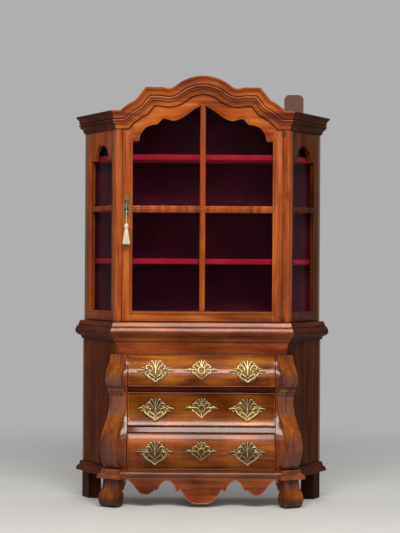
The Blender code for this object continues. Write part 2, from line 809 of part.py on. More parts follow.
def make_apron():
    """Scalloped board under the front strip, with a raised bead along its edge."""
    half_outline = [
        (0.0, 0.014), (0.030, 0.016), (0.052, 0.029), (0.068, 0.050), (0.078, 0.066),
        (0.084, 0.072), (0.092, 0.064), (0.098, 0.064), (0.104, 0.080), (0.116, 0.098),
        (0.132, 0.106), (0.148, 0.104), (0.160, 0.092), (0.168, 0.076), (0.176, 0.068),
        (0.184, 0.070), (0.194, 0.060), (0.208, 0.052), (0.224, 0.049), (0.240, 0.055),
        (0.258, 0.074), (0.274, 0.094), (0.290, 0.107), (APRON_HALF, 0.101),
    ]
    right = [Vector(point) for point in half_outline]
    line = [Vector((-point.x, point.y)) for point in right[:0:-1]] + right
    top = STRIP_Z - GAP
    shoulders = [
        (APRON_HALF, APRON_END_Z), (APRON_NOTCH_HALF, APRON_END_Z), (APRON_NOTCH_HALF, top),
        (-APRON_NOTCH_HALF, top), (-APRON_NOTCH_HALF, APRON_END_Z), (-APRON_HALF, APRON_END_Z),
    ]
    back_y = APRON_FRONT_Y + APRON_THICKNESS
    bead_y = APRON_FRONT_Y - APRON_BEAD / 2
    apron = cutout([line + shoulders], bead_y, back_y, FRONTAL, "apron", "front_wood")
    field = offset_line(line, APRON_BEAD)
    above = [(1.0, 1.0), (-1.0, 1.0)]
    cut(apron, cutout([field + above], bead_y - 1, APRON_FRONT_Y, FRONTAL))


def make_feet():
    """Scroll front feet under the trusses, block feet at the rear corners."""
    top = PLINTH_Z - GAP
    radius = FOOT_ROLL_RADIUS
    centre = (FOOT_ROLL_SWELL, radius - 0.001)
    roll = []
    for i in range(21):
        angle = math.radians(52 - 285 * i / 20)
        z = centre[1] + radius * math.sin(angle)
        roll.append((centre[0] + radius * math.cos(angle), max(z, 0.0)))
    front = [(FOOT_BACK_SWELL, top), (FOOT_TOP_SWELL, top), (0.0605, 0.098), (0.0635, 0.084), (0.0700, 0.073)]
    rear = [(0.0190, 0.066), (0.0080, 0.083), (FOOT_BACK_SWELL, 0.098)]
    outline = front + roll + rear
    for side, word in SIDE_NAMES:
        cutout([outline], -TRUSS_HALF, TRUSS_HALF, truss_basis(side), word + "_front_foot", "front_wood")
        outer, inner = LOWER_STEP, LOWER_STEP - REAR_FOOT_SIZE[1]
        start_y = CASE_DEPTH - REAR_FOOT_SIZE[0] * SIDE_ALONG.y
        loop = [
            (rear_x(outer, start_y), start_y), (rear_x(outer), CASE_DEPTH),
            (rear_x(inner), CASE_DEPTH), (rear_x(inner, start_y), start_y),
        ]
        loop = [(side * x, y) for x, y in loop]
        cutout([loop], 0.0, CASE_FOOT_Z, PLAN, word + "_rear_foot", "side_wood")


def make_backs():
    """Back boards of the two cases."""
    low = CASE_FOOT_Z + GAP
    outline = plan_loop(LOWER_STEP, BACK_FRONT_Y)
    cutout([outline], low, UPPER_FLOOR_Z - GAP, PLAN, "lower_back", "inner_wood")
    reach = rear_x(0.0)
    line = clip_line(header_offset(ROOF_TOP - ROOF_THICKNESS - GAP), -reach, reach)
    bottom = UPPER_FLOOR_Z + GAP
    back = cutout([line + [(reach, bottom), (-reach, bottom)]], BACK_FRONT_Y, CASE_DEPTH,
                  FRONTAL, "upper_back", "inner_wood")
    common(back, board("trim", None, 0.0, 0.0, 2.0))


DRAWER_WORDS = ("top", "middle", "bottom")
PULL_HALF_OUTLINE = (
    (0.0, 0.044), (0.007, 0.040), (0.013, 0.043), (0.020, 0.038), (0.019, 0.030), (0.027, 0.026),
    (0.036, 0.024), (0.041, 0.016), (0.050, 0.011), (0.058, 0.008), (0.066, 0.004), (0.077, 0.0),
    (0.066, -0.005), (0.056, -0.004), (0.048, -0.010), (0.042, -0.009), (0.039, -0.018),
    (0.031, -0.021), (0.028, -0.030), (0.019, -0.032), (0.014, -0.040), (0.007, -0.041), (0.0, -0.046),
)
PULL_HOLES = (
    ((0.013, 0.026), 0.0050, 0.0065), ((0.030, 0.014), 0.0060, 0.0040), ((0.051, 0.001), 0.0055, 0.0028),
    ((0.012, -0.022), 0.0050, 0.0070),
)
KEYPLATE_HALF_OUTLINE = (
    (0.0, 0.041), (0.006, 0.036), (0.012, 0.038), (0.017, 0.031), (0.024, 0.027), (0.029, 0.021),
    (0.037, 0.017), (0.043, 0.009), (0.052, 0.006), (0.060, 0.002), (0.068, -0.001), (0.058, -0.006),
    (0.048, -0.005), (0.040, -0.012), (0.031, -0.014), (0.026, -0.022), (0.016, -0.025),
    (0.010, -0.034), (0.0, -0.040),
)
KEYPLATE_HOLES = (
    ((0.014, 0.019), 0.0045, 0.0060), ((0.034, 0.006), 0.0065, 0.0045), ((0.015, -0.010), 0.0045, 0.0055),
)
DOOR_PLATE_HALF_OUTLINE = (
    (0.0, 0.0515), (0.005, 0.047), (0.008, 0.040), (0.0055, 0.033), (0.010, 0.029), (0.0142, 0.022),
    (0.012, 0.014), (0.015, 0.006), (0.0125, -0.002), (0.0145, -0.010), (0.013, -0.019),
    (0.0142, -0.027), (0.0095, -0.034), (0.0065, -0.041), (0.003, -0.046), (0.0, -0.0515),
)
DOOR_PLATE_HOLES = (
    ((0.0065, 0.020), 0.0026, 0.0055), ((0.0085, 0.001), 0.0022, 0.0050),
    ((0.0070, -0.014), 0.0026, 0.0050), ((0.0050, -0.030), 0.0022, 0.0045),
)


def both_sides(half):
    """A closed outline from the right half of a symmetric one, top to bottom."""
    return [Vector(point) for point in half] + [Vector((-u, v)) for u, v in half[-2:0:-1]]


def oval(centre, half_width, half_height, sides=6):
    return [
        (centre[0] + half_width * math.cos(2 * math.pi * i / sides),
         centre[1] + half_height * math.sin(2 * math.pi * i / sides))
        for i in range(sides)
    ]


def keyhole_loop(width, height):
    """A keyhole: a round eye over a slot that widens downwards."""
    eye = width * 0.75
    loop = [
        (eye * math.cos(math.radians(a)), height / 2 - eye + eye * math.sin(math.radians(a)))
        for a in range(-50, 231, 40)
    ]
    return loop + [(-width / 2, -height / 2), (width / 2, -height / 2)]


def pierced_plate(name, half_outline, holes, x, z, keyhole=None):
    """A flat brass plate; each hole is repeated on the other half."""
    basis = ((x, 0, z), (1, 0, 0), (0, 0, 1), (0, 1, 0))
    plate = cutout([both_sides(half_outline)], -PLATE_THICKNESS - GAP, -GAP, basis, name, "brass")
    loops = [
        oval((sign * u, v), half_width, half_height)
        for (u, v), half_width, half_height in holes for sign in (-1, 1)
    ]
    if keyhole:
        loops.append(keyhole)
    return pierce(plate, loops, basis)


def bend(plate):
    """Lays a flat plate on the swelled drawer front."""
    shape = bmesh.new()
    shape.from_mesh(plate.data)
    bmesh.ops.triangulate(shape, faces=shape.faces)
    heights = [vert.co.z for vert in shape.verts]
    for level in levels(min(heights), max(heights))[1:-1]:
        geometry = shape.verts[:] + shape.edges[:] + shape.faces[:]
        bmesh.ops.bisect_plane(shape, geom=geometry, dist=1e-6, plane_co=(0, 0, level), plane_no=(0, 0, 1))
    for vert in shape.verts:
        vert.co.y += front_y(vert.co.z)
    bmesh.ops.triangulate(shape, faces=shape.faces)
    shape.to_mesh(plate.data)
    shape.free()
    return plate


def make_pull(name, x, z):
    """A plate with two posts square to it, and the bail that swings on them."""
    plate = bend(pierced_plate(name + "_plate", PULL_HALF_OUTLINE, PULL_HOLES, x, z))
    seat_z = z + PULL_DROP
    slope = (front_y(seat_z + PROFILE_STEP) - front_y(seat_z - PROFILE_STEP)) / (2 * PROFILE_STEP)
    out = Vector((0, -1, slope)).normalized()
    seat = Vector((x, front_y(seat_z) - GAP - PLATE_THICKNESS / 2, seat_z))
    pivot = seat + out * (PLATE_THICKNESS / 2 + BAIL_STANDOFF)
    for sign in (-1, 1):
        aside = Vector((sign * POST_SPACING, 0, 0))
        join(plate, rod(seat + aside, pivot + aside + out * POST_RADIUS, POST_RADIUS, 10))
    _, pivot_y, pivot_z = pivot
    clear = PLATE_THICKNESS + BAIL_RADIUS + 4 * GAP
    lean = min([0.0] + [
        (front_y(level) - clear - pivot_y) / (pivot_z - level)
        for level in levels(pivot_z - BAIL_DROP - BAIL_RADIUS, pivot_z - PROFILE_STEP)
    ])
    end = POST_SPACING + POST_RADIUS + GAP
    half = [
        (end, 0.0), (end + 0.003, -0.0005), (end + 0.0065, -0.004), (end + 0.007, -0.011),
        (end + 0.001, -0.021), (end - 0.010, -0.030), (end - 0.020, -0.0355), (end - 0.028, -0.041),
        (0.0, -BAIL_DROP),
    ]
    right = smooth_line(half, 2)
    line = right + [Vector((-point.x, point.y)) for point in right[-2::-1]]
    path = [(x + u, pivot_y - lean * v, pivot_z + v) for u, v in line]
    bail = tube(path, BAIL_RADIUS, name + "_bail", "brass", resolution=1)
    moved(bail, pivot)


def make_drawers():
    """Swelled front, box, two pulls and a keyhole plate for each drawer."""
    for word, (low, high) in zip(DRAWER_WORDS, DRAWER_LEVELS):
        section = swelled_section(low, high, DRAWER_BACK_Y, COCK_BEAD_RAISE)
        front = cutout([section], -DRAWER_HALF, DRAWER_HALF, SECTION, word + "_drawer_front", "front_wood")
        field_low, field_high = low + COCK_BEAD, high - COCK_BEAD
        field = swelled_section(field_low, field_high, -1)
        half = DRAWER_HALF - COCK_BEAD
        cut(front, cutout([field], -half, half, SECTION))
        floor = low - DRAWER_GAP + GAP
        rim = high - BOX_TOP_DROP
        start = DRAWER_BACK_Y + GAP
        box = block((-BOX_HALF, start, floor), (BOX_HALF, BOX_REAR_Y, rim),
                    word + "_drawer_box", "inner_wood")
        inside = BOX_HALF - BOX_WALL
        cut(box, block((-inside, -1, floor + BOX_WALL), (inside, BOX_REAR_Y - BOX_WALL, rim + 1)))
        middle = (low + high) / 2
        for sign, side in SIDE_NAMES:
            make_pull(word + "_" + side, sign * PULL_X, middle)
        keyhole = keyhole_loop(0.005, 0.014)
        bend(pierced_plate(word + "_keyhole_plate", KEYPLATE_HALF_OUTLINE, KEYPLATE_HOLES,
                           0.0, middle + PULL_DROP, keyhole))


def make_face_frame():
    """Two posts and the arched header behind the cornice, trimmed to the canted corners."""
    wide = FRONT_HALF + FACE_THICKNESS
    low = UPPER_FLOOR_Z + GAP
    inner = clip_line(header_line(), -POST_INNER_X, POST_INNER_X)
    over = clip_line(header_offset(CORNICE_HEIGHT - GAP), -wide, wide)
    outline = [(-wide, low), (-POST_INNER_X, low)] + inner + [(POST_INNER_X, low), (wide, low)] + over[::-1]
    frame = cutout([outline], 0.0, FACE_THICKNESS, FRONTAL, "upper_front_frame", "front_wood")
    common(frame, board("trim", None, 0.0, 0.0, 2.0))


def make_side_frames():
    """Canted frames with an arched light over a plain one, and a pane behind each."""
    behind = FACE_THICKNESS + GAP
    open_start = behind / SIDE_ALONG.y + SIDE_FRONT_STILE
    open_end = BACK_SEAT_Y / SIDE_ALONG.y - SIDE_REAR_STILE
    low = UPPER_FLOOR_Z + GAP
    high = SHOULDER_Z + ROOF_TOP - ROOF_THICKNESS - GAP
    bar_low = SIDE_BAR_Z - SIDE_BAR_HEIGHT / 2
    bar_high = SIDE_BAR_Z + SIDE_BAR_HEIGHT / 2
    centre = (open_start + open_end) / 2
    radius = (open_end - open_start) / 2 - SIDE_ARCH_SHOULDER
    steps = 2 * CURVE_STEPS
    arch = [
        (centre + radius * math.cos(math.pi * i / steps),
         SIDE_SHOULDER_Z + radius * math.sin(math.pi * i / steps))
        for i in range(steps + 1)
    ]
    outline = [(0.0, low), (SIDE_LENGTH, low), (SIDE_LENGTH, high), (0.0, high)]
    lower_light = [(open_start, SIDE_OPENING_LOW_Z), (open_end, SIDE_OPENING_LOW_Z),
                   (open_end, bar_low), (open_start, bar_low)]
    upper_light = [(open_start, bar_high), (open_end, bar_high), (open_end, SIDE_SHOULDER_Z)]
    upper_light += arch + [(open_start, SIDE_SHOULDER_Z)]
    pane_outline = [
        (open_start - PANE_LAP, SIDE_OPENING_LOW_Z - PANE_THICKNESS / 3),
        (open_end + PANE_LAP, SIDE_OPENING_LOW_Z - PANE_THICKNESS / 3),
        (open_end + PANE_LAP, SIDE_SHOULDER_Z + radius + PANE_LAP),
        (open_start - PANE_LAP, SIDE_SHOULDER_Z + radius + PANE_LAP),
    ]
    for side, word in SIDE_NAMES:
        basis = canted_basis(side)
        frame = cutout([outline], -SIDE_THICKNESS, 0.0, basis, word + "_side_frame", "side_wood")
        pierce(frame, [lower_light, upper_light], basis)
        common(frame, block((-1, behind, 0), (1, BACK_SEAT_Y, 2)))
        pane_back = -SIDE_THICKNESS - GAP - PANE_THICKNESS
        cutout([pane_outline], pane_back, -SIDE_THICKNESS - GAP, basis, word + "_side_glass", "glass")


def make_roof_and_floor():
    """Roof board that follows the arch, floor frame, shelves and rear upstand."""
    reach = REAR_HALF + SIDE_BOARD
    under, over = (
        clip_line(header_offset(height), -reach, reach) for height in (ROOF_TOP - ROOF_THICKNESS, ROOF_TOP)
    )
    roof = cutout([under + over[::-1]], FACE_THICKNESS + GAP, CASE_DEPTH, FRONTAL, "roof_board", "side_wood")
    common(roof, board("trim", None, -GAP, 0.0, 2.0))
    inset = -SIDE_THICKNESS - GAP
    front = FACE_THICKNESS + GAP
    low = UPPER_FLOOR_Z + GAP
    top = UPPER_FLOOR_Z + FLOOR_FRAME_HEIGHT
    floor = board("upper_floor", "front_wood", inset, low, top, front, BACK_SEAT_Y)
    hollow = board("hollow", None, inset - FLOOR_RIM, 0.0, top - FLOOR_BOARD,
                   front + FLOOR_RIM, BACK_SEAT_Y - FLOOR_RIM)
    cut(floor, hollow)
    shelf_inset = inset - PANE_THICKNESS - GAP
    for word, shelf_top in zip(("lower", "middle", "upper"), SHELF_TOPS):
        board(word + "_shelf", "velvet", shelf_inset, shelf_top - SHELF_THICKNESS, shelf_top,
              SHELF_FRONT_Y, BACK_SEAT_Y)
    seat = SHOULDER_Z + ROOF_TOP + GAP
    inner_x, outer_x = UPSTAND_X
    round_low = seat + UPSTAND_HEIGHT - UPSTAND_CORNER
    shoulders = []
    for centre_x, first in ((outer_x - UPSTAND_CORNER, 0), (inner_x + UPSTAND_CORNER, 90)):
        for i in range(CURVE_STEPS):
            angle = math.radians(first + 90 * i / (CURVE_STEPS - 1))
            shoulders.append((centre_x + UPSTAND_CORNER * math.cos(angle),
                              round_low + UPSTAND_CORNER * math.sin(angle)))
    outline = [(inner_x, seat), (outer_x, seat)] + shoulders
    rear = CASE_DEPTH - GAP
    cutout([outline], rear - UPSTAND_THICKNESS, rear, FRONTAL, "rear_upstand", "side_wood")


def make_door():
    """Door frame with its glazing bars, the glass behind it, and two pin hinges."""
    top = clip_line(header_offset(-ARCH_GAP), -DOOR_HALF, DOOR_HALF)
    outline = [(-DOOR_HALF, DOOR_LOW_Z), (DOOR_HALF, DOOR_LOW_Z)] + top[::-1]
    light_top = header_offset(-ARCH_GAP - DOOR_TOP_RAIL)
    light_low = DOOR_LOW_Z + DOOR_BOTTOM_RAIL
    bar_low = CROSS_BAR_Z - CROSS_BAR_HEIGHT / 2
    bar_high = CROSS_BAR_Z + CROSS_BAR_HEIGHT / 2
    inner, outer = BAR_WIDTH / 2, DOOR_HALF - DOOR_STILE
    lights = []
    for low_x, high_x in ((-outer, -inner), (inner, outer)):
        lights.append([(low_x, light_low), (high_x, light_low), (high_x, bar_low), (low_x, bar_low)])
        arch = clip_line(light_top, low_x, high_x)
        lights.append([(low_x, bar_high), (high_x, bar_high)] + arch[::-1])
    door = cutout([outline], 0.0, DOOR_THICKNESS, FRONTAL, "door_frame", "front_wood")
    pierce(door, lights, FRONTAL)
    keyway = KEY_RADIUS + KEY_CLEARANCE
    cut(door, rod((LOCK_X, -1, LOCK_Z), (LOCK_X, 1, LOCK_Z), keyway, 12))
    hinge = (AXIS_X, AXIS_Y, 0)
    moved(door, hinge)
    glass_top = clip_line(header_offset(-ARCH_GAP - DOOR_TOP_RAIL + PANE_LAP),
                          -outer - PANE_LAP, outer + PANE_LAP)
    glass_outline = [(-outer - PANE_LAP, light_low - PANE_LAP), (outer + PANE_LAP, light_low - PANE_LAP)]
    front = DOOR_THICKNESS + GAP
    glass = cutout([glass_outline + glass_top[::-1]], front, front + PANE_THICKNESS, FRONTAL,
                   "door_glass", "glass")
    moved(glass, hinge)
    leaf_x = POST_INNER_X - GAP
    for word, low in (("lower", UPPER_FLOOR_Z + GAP), ("upper", SHOULDER_Z - ARCH_GAP - HINGE_HEIGHT)):
        high = low + HINGE_HEIGHT
        knuckle = rod((AXIS_X, AXIS_Y, low), (AXIS_X, AXIS_Y, high), HINGE_RADIUS, 16,
                      word + "_door_hinge", "brass")
        join(knuckle, block((leaf_x - HINGE_LEAF, AXIS_Y, low), (leaf_x, HINGE_LEAF_DEPTH, high)))


def make_lock():
    """Lock and bolt behind the left stile, escutcheon, key, its cord and tassel."""
    hinge = (AXIS_X, AXIS_Y, 0)
    keyway = KEY_RADIUS + KEY_CLEARANCE
    eye = oval((0.0, LOCK_Z - DOOR_PLATE_CENTRE_Z), keyway, keyway, 12)
    plate = pierced_plate("door_escutcheon", DOOR_PLATE_HALF_OUTLINE, DOOR_PLATE_HOLES,
                          LOCK_X, DOOR_PLATE_CENTRE_Z, eye)
    moved(plate, hinge)
    width, depth, height = LOCK_SIZE
    back = DOOR_THICKNESS + GAP
    lock = block((LOCK_X - width / 2, back, LOCK_Z - height / 2),
                 (LOCK_X + width / 2, back + depth, LOCK_Z + height / 2), "door_lock", "lock_steel")
    run, thick, tall = BOLT_SIZE
    bolt_x = LOCK_X - width / 2 + GAP
    bolt_y = FACE_THICKNESS + GAP
    low = (bolt_x, bolt_y, LOCK_Z - tall / 2)
    high = (bolt_x + run, bolt_y + thick, LOCK_Z + tall / 2)
    room = KEY_CLEARANCE
    channel_low = (low[0] - 1, low[1] - room, low[2] - room)
    cut(lock, block(channel_low, [edge + room for edge in high]))
    cut(lock, rod((LOCK_X, 0, LOCK_Z), (LOCK_X, bolt_y, LOCK_Z), keyway, 12))
    moved(lock, hinge)
    moved(block(low, high, "lock_bolt", "brass"), low)
    ring = [
        (LOCK_X, HANG_Y + BOW_RADIUS * math.cos(2 * math.pi * i / 20),
         LOCK_Z + BOW_RADIUS * math.sin(2 * math.pi * i / 20))
        for i in range(20)
    ]
    stem_start = HANG_Y + BOW_RADIUS
    stem_end = bolt_y - 2 * room
    key = rod((LOCK_X, stem_start, LOCK_Z), (LOCK_X, stem_end, LOCK_Z), KEY_RADIUS, 12,
              "door_key", "lock_steel")
    join(key, tube(ring, BOW_WIRE, cyclic=True))
    moved(key, (LOCK_X, HANG_Y, LOCK_Z))
    hang_z = LOCK_Z - BOW_RADIUS
    cord_top = hang_z - BOW_WIRE - GAP
    cord_low = TASSEL_TOP_Z + GAP
    count = CORD_POINTS
    cord_path = [
        (LOCK_X, HANG_Y, cord_top + (cord_low - cord_top) * i / (count - 1)) for i in range(count)
    ]
    moved(tube(cord_path, CORD_DIAMETER / 2, "key_cord", "ivory_thread"), (LOCK_X, HANG_Y, hang_z))
    tassel_profile = [
        (0.0, 0.0), (0.0030, -0.0005), (0.0062, -0.004), (0.0080, -0.009), (0.0080, -0.014),
        (0.0062, -0.018), (0.0050, -0.020), (0.0052, -0.023), (0.0085, -0.031), (0.0115, -0.046),
        (0.0145, -0.064), (TASSEL_RADIUS, -TASSEL_HEIGHT), (0.0, -TASSEL_HEIGHT),
    ]
    turned("key_tassel", "ivory_thread", tassel_profile, (LOCK_X, HANG_Y, TASSEL_TOP_Z),
           (LOCK_X, HANG_Y, hang_z))


def turned(name, material, profile, top, pivot):
    """A turned piece: its profile (radius, height) with a Screw modifier."""
    mesh = bpy.data.meshes.new(name)
    points = [(radius, 0, height) for radius, height in profile]
    mesh.from_pydata(points, [(i, i + 1) for i in range(len(points) - 1)], [])
    piece = place(mesh, name, material)
    screw = piece.modifiers.new("turn", "SCREW")
    screw.steps = 20
    screw.render_steps = 20
    screw.use_merge_vertices = True
    screw.merge_threshold = 0.00005
    piece.location = top
    mesh = evaluated_mesh(piece)
    bpy.data.objects.remove(piece, do_unlink=True)
    mesh.shade_smooth()
    return moved(place(mesh, name, material), pivot)


def settle():
    """Moves the whole cabinet so that the origin is its bottom centre."""
    bpy.context.view_layer.update()
    corners = [
        piece.matrix_world @ Vector(corner) for piece in COLLECTION.objects for corner in piece.bound_box
    ]
    depths = [corner.y for corner in corners]
    shift = -(min(depths) + max(depths)) / 2
    for piece in COLLECTION.objects:
        piece.location.y += shift
    print("shift of the front plane", round(shift, 6))


def main():
    make_lower_sides()
    make_front_frame()
    make_dividers()
    make_trusses()
    make_waist()
    make_base()
    make_apron()
    make_feet()
    make_backs()
    make_drawers()
    make_face_frame()
    make_side_frames()
    make_roof_and_floor()
    make_cornice()
    make_door()
    make_lock()
    settle()


main()
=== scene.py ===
import json
import math
import random

import bmesh
import bpy
from mathutils import Matrix, Vector

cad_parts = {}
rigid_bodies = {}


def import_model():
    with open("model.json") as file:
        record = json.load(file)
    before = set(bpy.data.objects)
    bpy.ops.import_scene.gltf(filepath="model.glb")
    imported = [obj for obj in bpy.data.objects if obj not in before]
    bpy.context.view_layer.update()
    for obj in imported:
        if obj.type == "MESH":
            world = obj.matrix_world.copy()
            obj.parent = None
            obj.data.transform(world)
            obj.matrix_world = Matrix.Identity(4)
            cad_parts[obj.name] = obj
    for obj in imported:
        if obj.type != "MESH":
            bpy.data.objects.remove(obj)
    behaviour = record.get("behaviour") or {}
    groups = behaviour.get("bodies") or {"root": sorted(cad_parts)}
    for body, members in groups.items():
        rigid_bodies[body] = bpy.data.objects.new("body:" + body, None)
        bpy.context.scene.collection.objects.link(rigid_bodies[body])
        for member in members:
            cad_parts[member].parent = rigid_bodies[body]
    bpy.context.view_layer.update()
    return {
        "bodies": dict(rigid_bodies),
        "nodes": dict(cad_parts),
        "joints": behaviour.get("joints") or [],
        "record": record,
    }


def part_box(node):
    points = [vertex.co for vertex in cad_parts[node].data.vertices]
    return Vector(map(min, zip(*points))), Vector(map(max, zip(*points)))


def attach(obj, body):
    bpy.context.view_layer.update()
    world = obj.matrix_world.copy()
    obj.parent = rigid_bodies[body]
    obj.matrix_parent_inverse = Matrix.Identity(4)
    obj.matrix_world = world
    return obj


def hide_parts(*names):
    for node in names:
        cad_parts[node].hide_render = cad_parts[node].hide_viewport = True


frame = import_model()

# The photograph's view: a long lens at eye level, a trace of roll, the cabinet a little off centre
IMAGE_WIDTH, IMAGE_HEIGHT = 400, 533
FOCAL_PIXELS = 1500.0
CAMERA_DISTANCE = 6.0
CAMERA_HEIGHT = 0.936
HORIZON_ROW = 272.0
CENTRE_COLUMN = 202.2
ROLL = -0.006
SENSOR = 36.0

# Pieces are drawn with y = 0 at the front of the upper case, and then moved to the frame by SHIFT
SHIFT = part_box("upper_front_frame")[0][1]
GAP = 0.0003

# Plan and levels, as in the solids
FRONT_HALF = 0.346
REAR_HALF = 0.4895
CASE_DEPTH = 0.250
LOWER_STEP = 0.004
SIDE_BOARD = 0.030
UPPER_FLOOR_Z = 0.735
SHOULDER_Z = 1.508
WAIST_LOW_Z = 0.659
FRIEZE_LOW_Z = 0.6065
CASE_FOOT_Z = 0.105
BACK_SEAT_Y = 0.238

# Arched header, right half
SHOULDER_X = 0.299
FOOT_OF_STEP = (0.2246, 1.565)
HEAD_OF_STEP = (0.195, 1.601)
LEDGE_END_X = 0.1693
STEP_BULGE = 0.0055
DIP_RADIUS = 0.112
DIP_START_SLOPE = math.radians(16.0)
ARCH_SLOPE = math.radians(40.0)
CORNICE_HEIGHT = 0.070
RETURN_FROM_X = FRONT_HALF + 0.040

# Upper case
FACE_THICKNESS = 0.024
POST_INNER_X = 0.3225
SIDE_THICKNESS = 0.018
SIDE_FRONT_STILE = 0.012
SIDE_REAR_STILE = 0.049
SIDE_OPENING_LOW_Z = 0.777
SIDE_SHOULDER_Z = 1.388
SIDE_ARCH_SHOULDER = 0.0305
SIDE_BAR_Z = 1.192
SIDE_BAR_HEIGHT = 0.020
SIDE_TOP_Z = SHOULDER_Z + 0.048
FLOOR_TOP_Z = 0.775
SHELF_TOPS = (0.989, 1.201, 1.408)
SHELF_THICKNESS = 0.021
SHELF_FRONT_Y = 0.036
SHELF_INSET = -0.0216
CLOTH_INSET = -SIDE_THICKNESS - 0.0040
CLOTH_BACK_Y = BACK_SEAT_Y - 0.0004
CLOTH_THICKNESS = 0.0016
CLOTH_RISE = 0.046

# Door
DOOR_THICKNESS = 0.018
DOOR_HALF = 0.3207
DOOR_LOW_Z = 0.737
DOOR_STILE = 0.0402
DOOR_BOTTOM_RAIL = 0.040
ARCH_GAP = 0.0035
BAR_WIDTH = 0.022
BAR_TOP_Z = 1.598
CROSS_BAR_Z = 1.187
CROSS_BAR_HEIGHT = 0.028
HINGE_X = 0.3224
HINGE_Y = -0.0045
HINGE_RADIUS = 0.0042
HINGE_HEIGHT = 0.025

# Lock, key and tassel
LOCK_X = -0.3035
LOCK_Z = 1.193
KEYWAY_RADIUS = 0.0029
DOOR_PLATE_CENTRE_Z = 1.195
HANG_Y = -0.0215
BOW_RADIUS = 0.0085
BOW_WIRE = 0.0017
CORD_DIAMETER = 0.0024
CORD_POINTS = 10
CORD_WITHIN = 10
CORD_RINGS = 140
CORD_TURN = 30
TASSEL_TOP_Z = 1.127
TASSEL_HEIGHT = 0.083
SKIRT_DROP = 0.0215
WOUND_THREAD, BINDING_THREAD, SKIRT_THREAD = 0.0009, 0.0008, 0.00082
# Rows of the skirt: how many threads, and how far in they lie
SKIRT_ROWS = ((46, 1.0), (36, 0.80), (24, 0.52))
SKIRT_STEPS = (0.0, 0.12, 0.3, 0.5, 0.7, 0.86, 1.0)

# Scroll trusses
TRUSS_X, TRUSS_Y = 0.3295, 0.018
TRUSS_HALF = 0.037
TRUSS_BACK = -0.002
TRUSS_TOP_Z = 0.6055
TRUSS_TOP_SWELL = 0.010
TONGUE_TOP_Z = 0.655
UPPER_PEAK_Z, UPPER_PEAK_SWELL = 0.505, 0.050
UPPER_ROLL_END = (0.040, 0.4785)
COLLAR = ((0.030, 0.4745), (0.032, 0.4585), (0.024, 0.4575), (0.024, 0.4470))
NECK_TOP_Z, NECK_Z, NECK_SWELL = 0.440, 0.410, 0.017
LOWER_PEAK_Z, LOWER_PEAK_SWELL = 0.240, 0.086
TRUSS_FOOT_Z, TRUSS_FOOT_SWELL = 0.1508, 0.050

# Drawers
FRAME_LOW_Z = 0.1465
DRAWER_WORDS = ("top", "middle", "bottom")
DRAWER_LEVELS = ((0.4785, 0.6050), (0.3225, 0.4550), (0.1480, 0.2960))
DRAWER_HALF = 0.2935
DRAWER_GAP = 0.0015
DRAWER_BACK_Y = 0.010
STILE_INNER_X = 0.2955
STILE_BACK_Y = 0.034
COCK_BEAD = 0.0042
FRONT_INSET = COCK_BEAD + 0.0010
FRONT_EASE = 0.0006
PULL_X = 0.183
PULL_DROP = 0.004
PLATE_THICKNESS = 0.0016
GROUND_DEPTH = PLATE_THICKNESS + GAP + 0.0006
POST_SPACING = 0.034
POST_RADIUS = 0.0042
BAIL_RADIUS = 0.0027
BAIL_DROP = 0.050
BAIL_STANDOFF = 0.0075

# Base
BASE_FRONT_Y = -0.041
BLOCK_CORE_HALF = 0.033
BLOCK_CORE_SWELL = 0.053
PLINTH_Z = 0.1125
STRIP_Z = 0.1243
APRON_FRONT_Y = -0.046
APRON_THICKNESS = 0.018
APRON_HALF = 0.305
FOOT_TOP_SWELL = 0.060
FOOT_ROLL_RADIUS = 0.037
FOOT_ROLL_SWELL = 0.055

FRONT = Vector((0.0, -1.0))
SIDE_ALONG = Vector((REAR_HALF - FRONT_HALF, CASE_DEPTH)).normalized()
SIDE_OUT = Vector((SIDE_ALONG.y, -SIDE_ALONG.x))
MITRE_X = (FRONT + SIDE_OUT).x / (1.0 + FRONT.dot(SIDE_OUT))
TRUSS_OUT = (FRONT + SIDE_OUT).normalized()
TRUSS_ALONG = Vector((-TRUSS_OUT.y, TRUSS_OUT.x))
TRUSS_BASE = Vector((TRUSS_X, TRUSS_Y))
SIDE_NAMES = ((-1, "left"), (1, "right"))
PLAN = ((0, 0, 0), (1, 0, 0), (0, 1, 0), (0, 0, 1))
FRONTAL = ((0, 0, 0), (1, 0, 0), (0, 0, 1), (0, 1, 0))
SECTION = ((0, 0, 0), (0, 1, 0), (0, 0, 1), (1, 0, 0))


# Helpers for meshes

def add_piece(name, mesh, body, material, replaces=(), sharp=30, second=None, where=None):
    """Links a mesh as a piece that rides on a body; where() picks the faces of a second material."""
    mesh.materials.clear()
    mesh.materials.append(material)
    if second:
        mesh.materials.append(second)
    for face in mesh.polygons:
        face.material_index = 1 if second and where(face.center) else 0
    mesh.transform(Matrix.Translation((0, SHIFT, 0)))
    mesh.shade_smooth()
    mesh.set_sharp_from_angle(angle=math.radians(sharp))
    piece = bpy.data.objects.new(name, mesh)
    bpy.context.scene.collection.objects.link(piece)
    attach(piece, body)
    if replaces:
        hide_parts(*replaces)
    return piece


def link(name, data):
    """A new object in the scene."""
    thing = bpy.data.objects.new(name, data)
    bpy.context.scene.collection.objects.link(thing)
    return thing


def mesh_of(thing):
    """The mesh that an object evaluates to; the object is removed."""
    bpy.context.view_layer.update()
    graph = bpy.context.evaluated_depsgraph_get()
    mesh = bpy.data.meshes.new_from_object(thing.evaluated_get(graph))
    bpy.data.objects.remove(thing, do_unlink=True)
    return mesh


def as_shape(*meshes):
    """The meshes as one shape to work on."""
    shape = bmesh.new()
    for mesh in meshes:
        shape.from_mesh(mesh)
    return shape


def as_mesh(shape):
    """The mesh of a finished shape."""
    mesh = bpy.data.meshes.new("part")
    shape.to_mesh(mesh)
    shape.free()
    return mesh


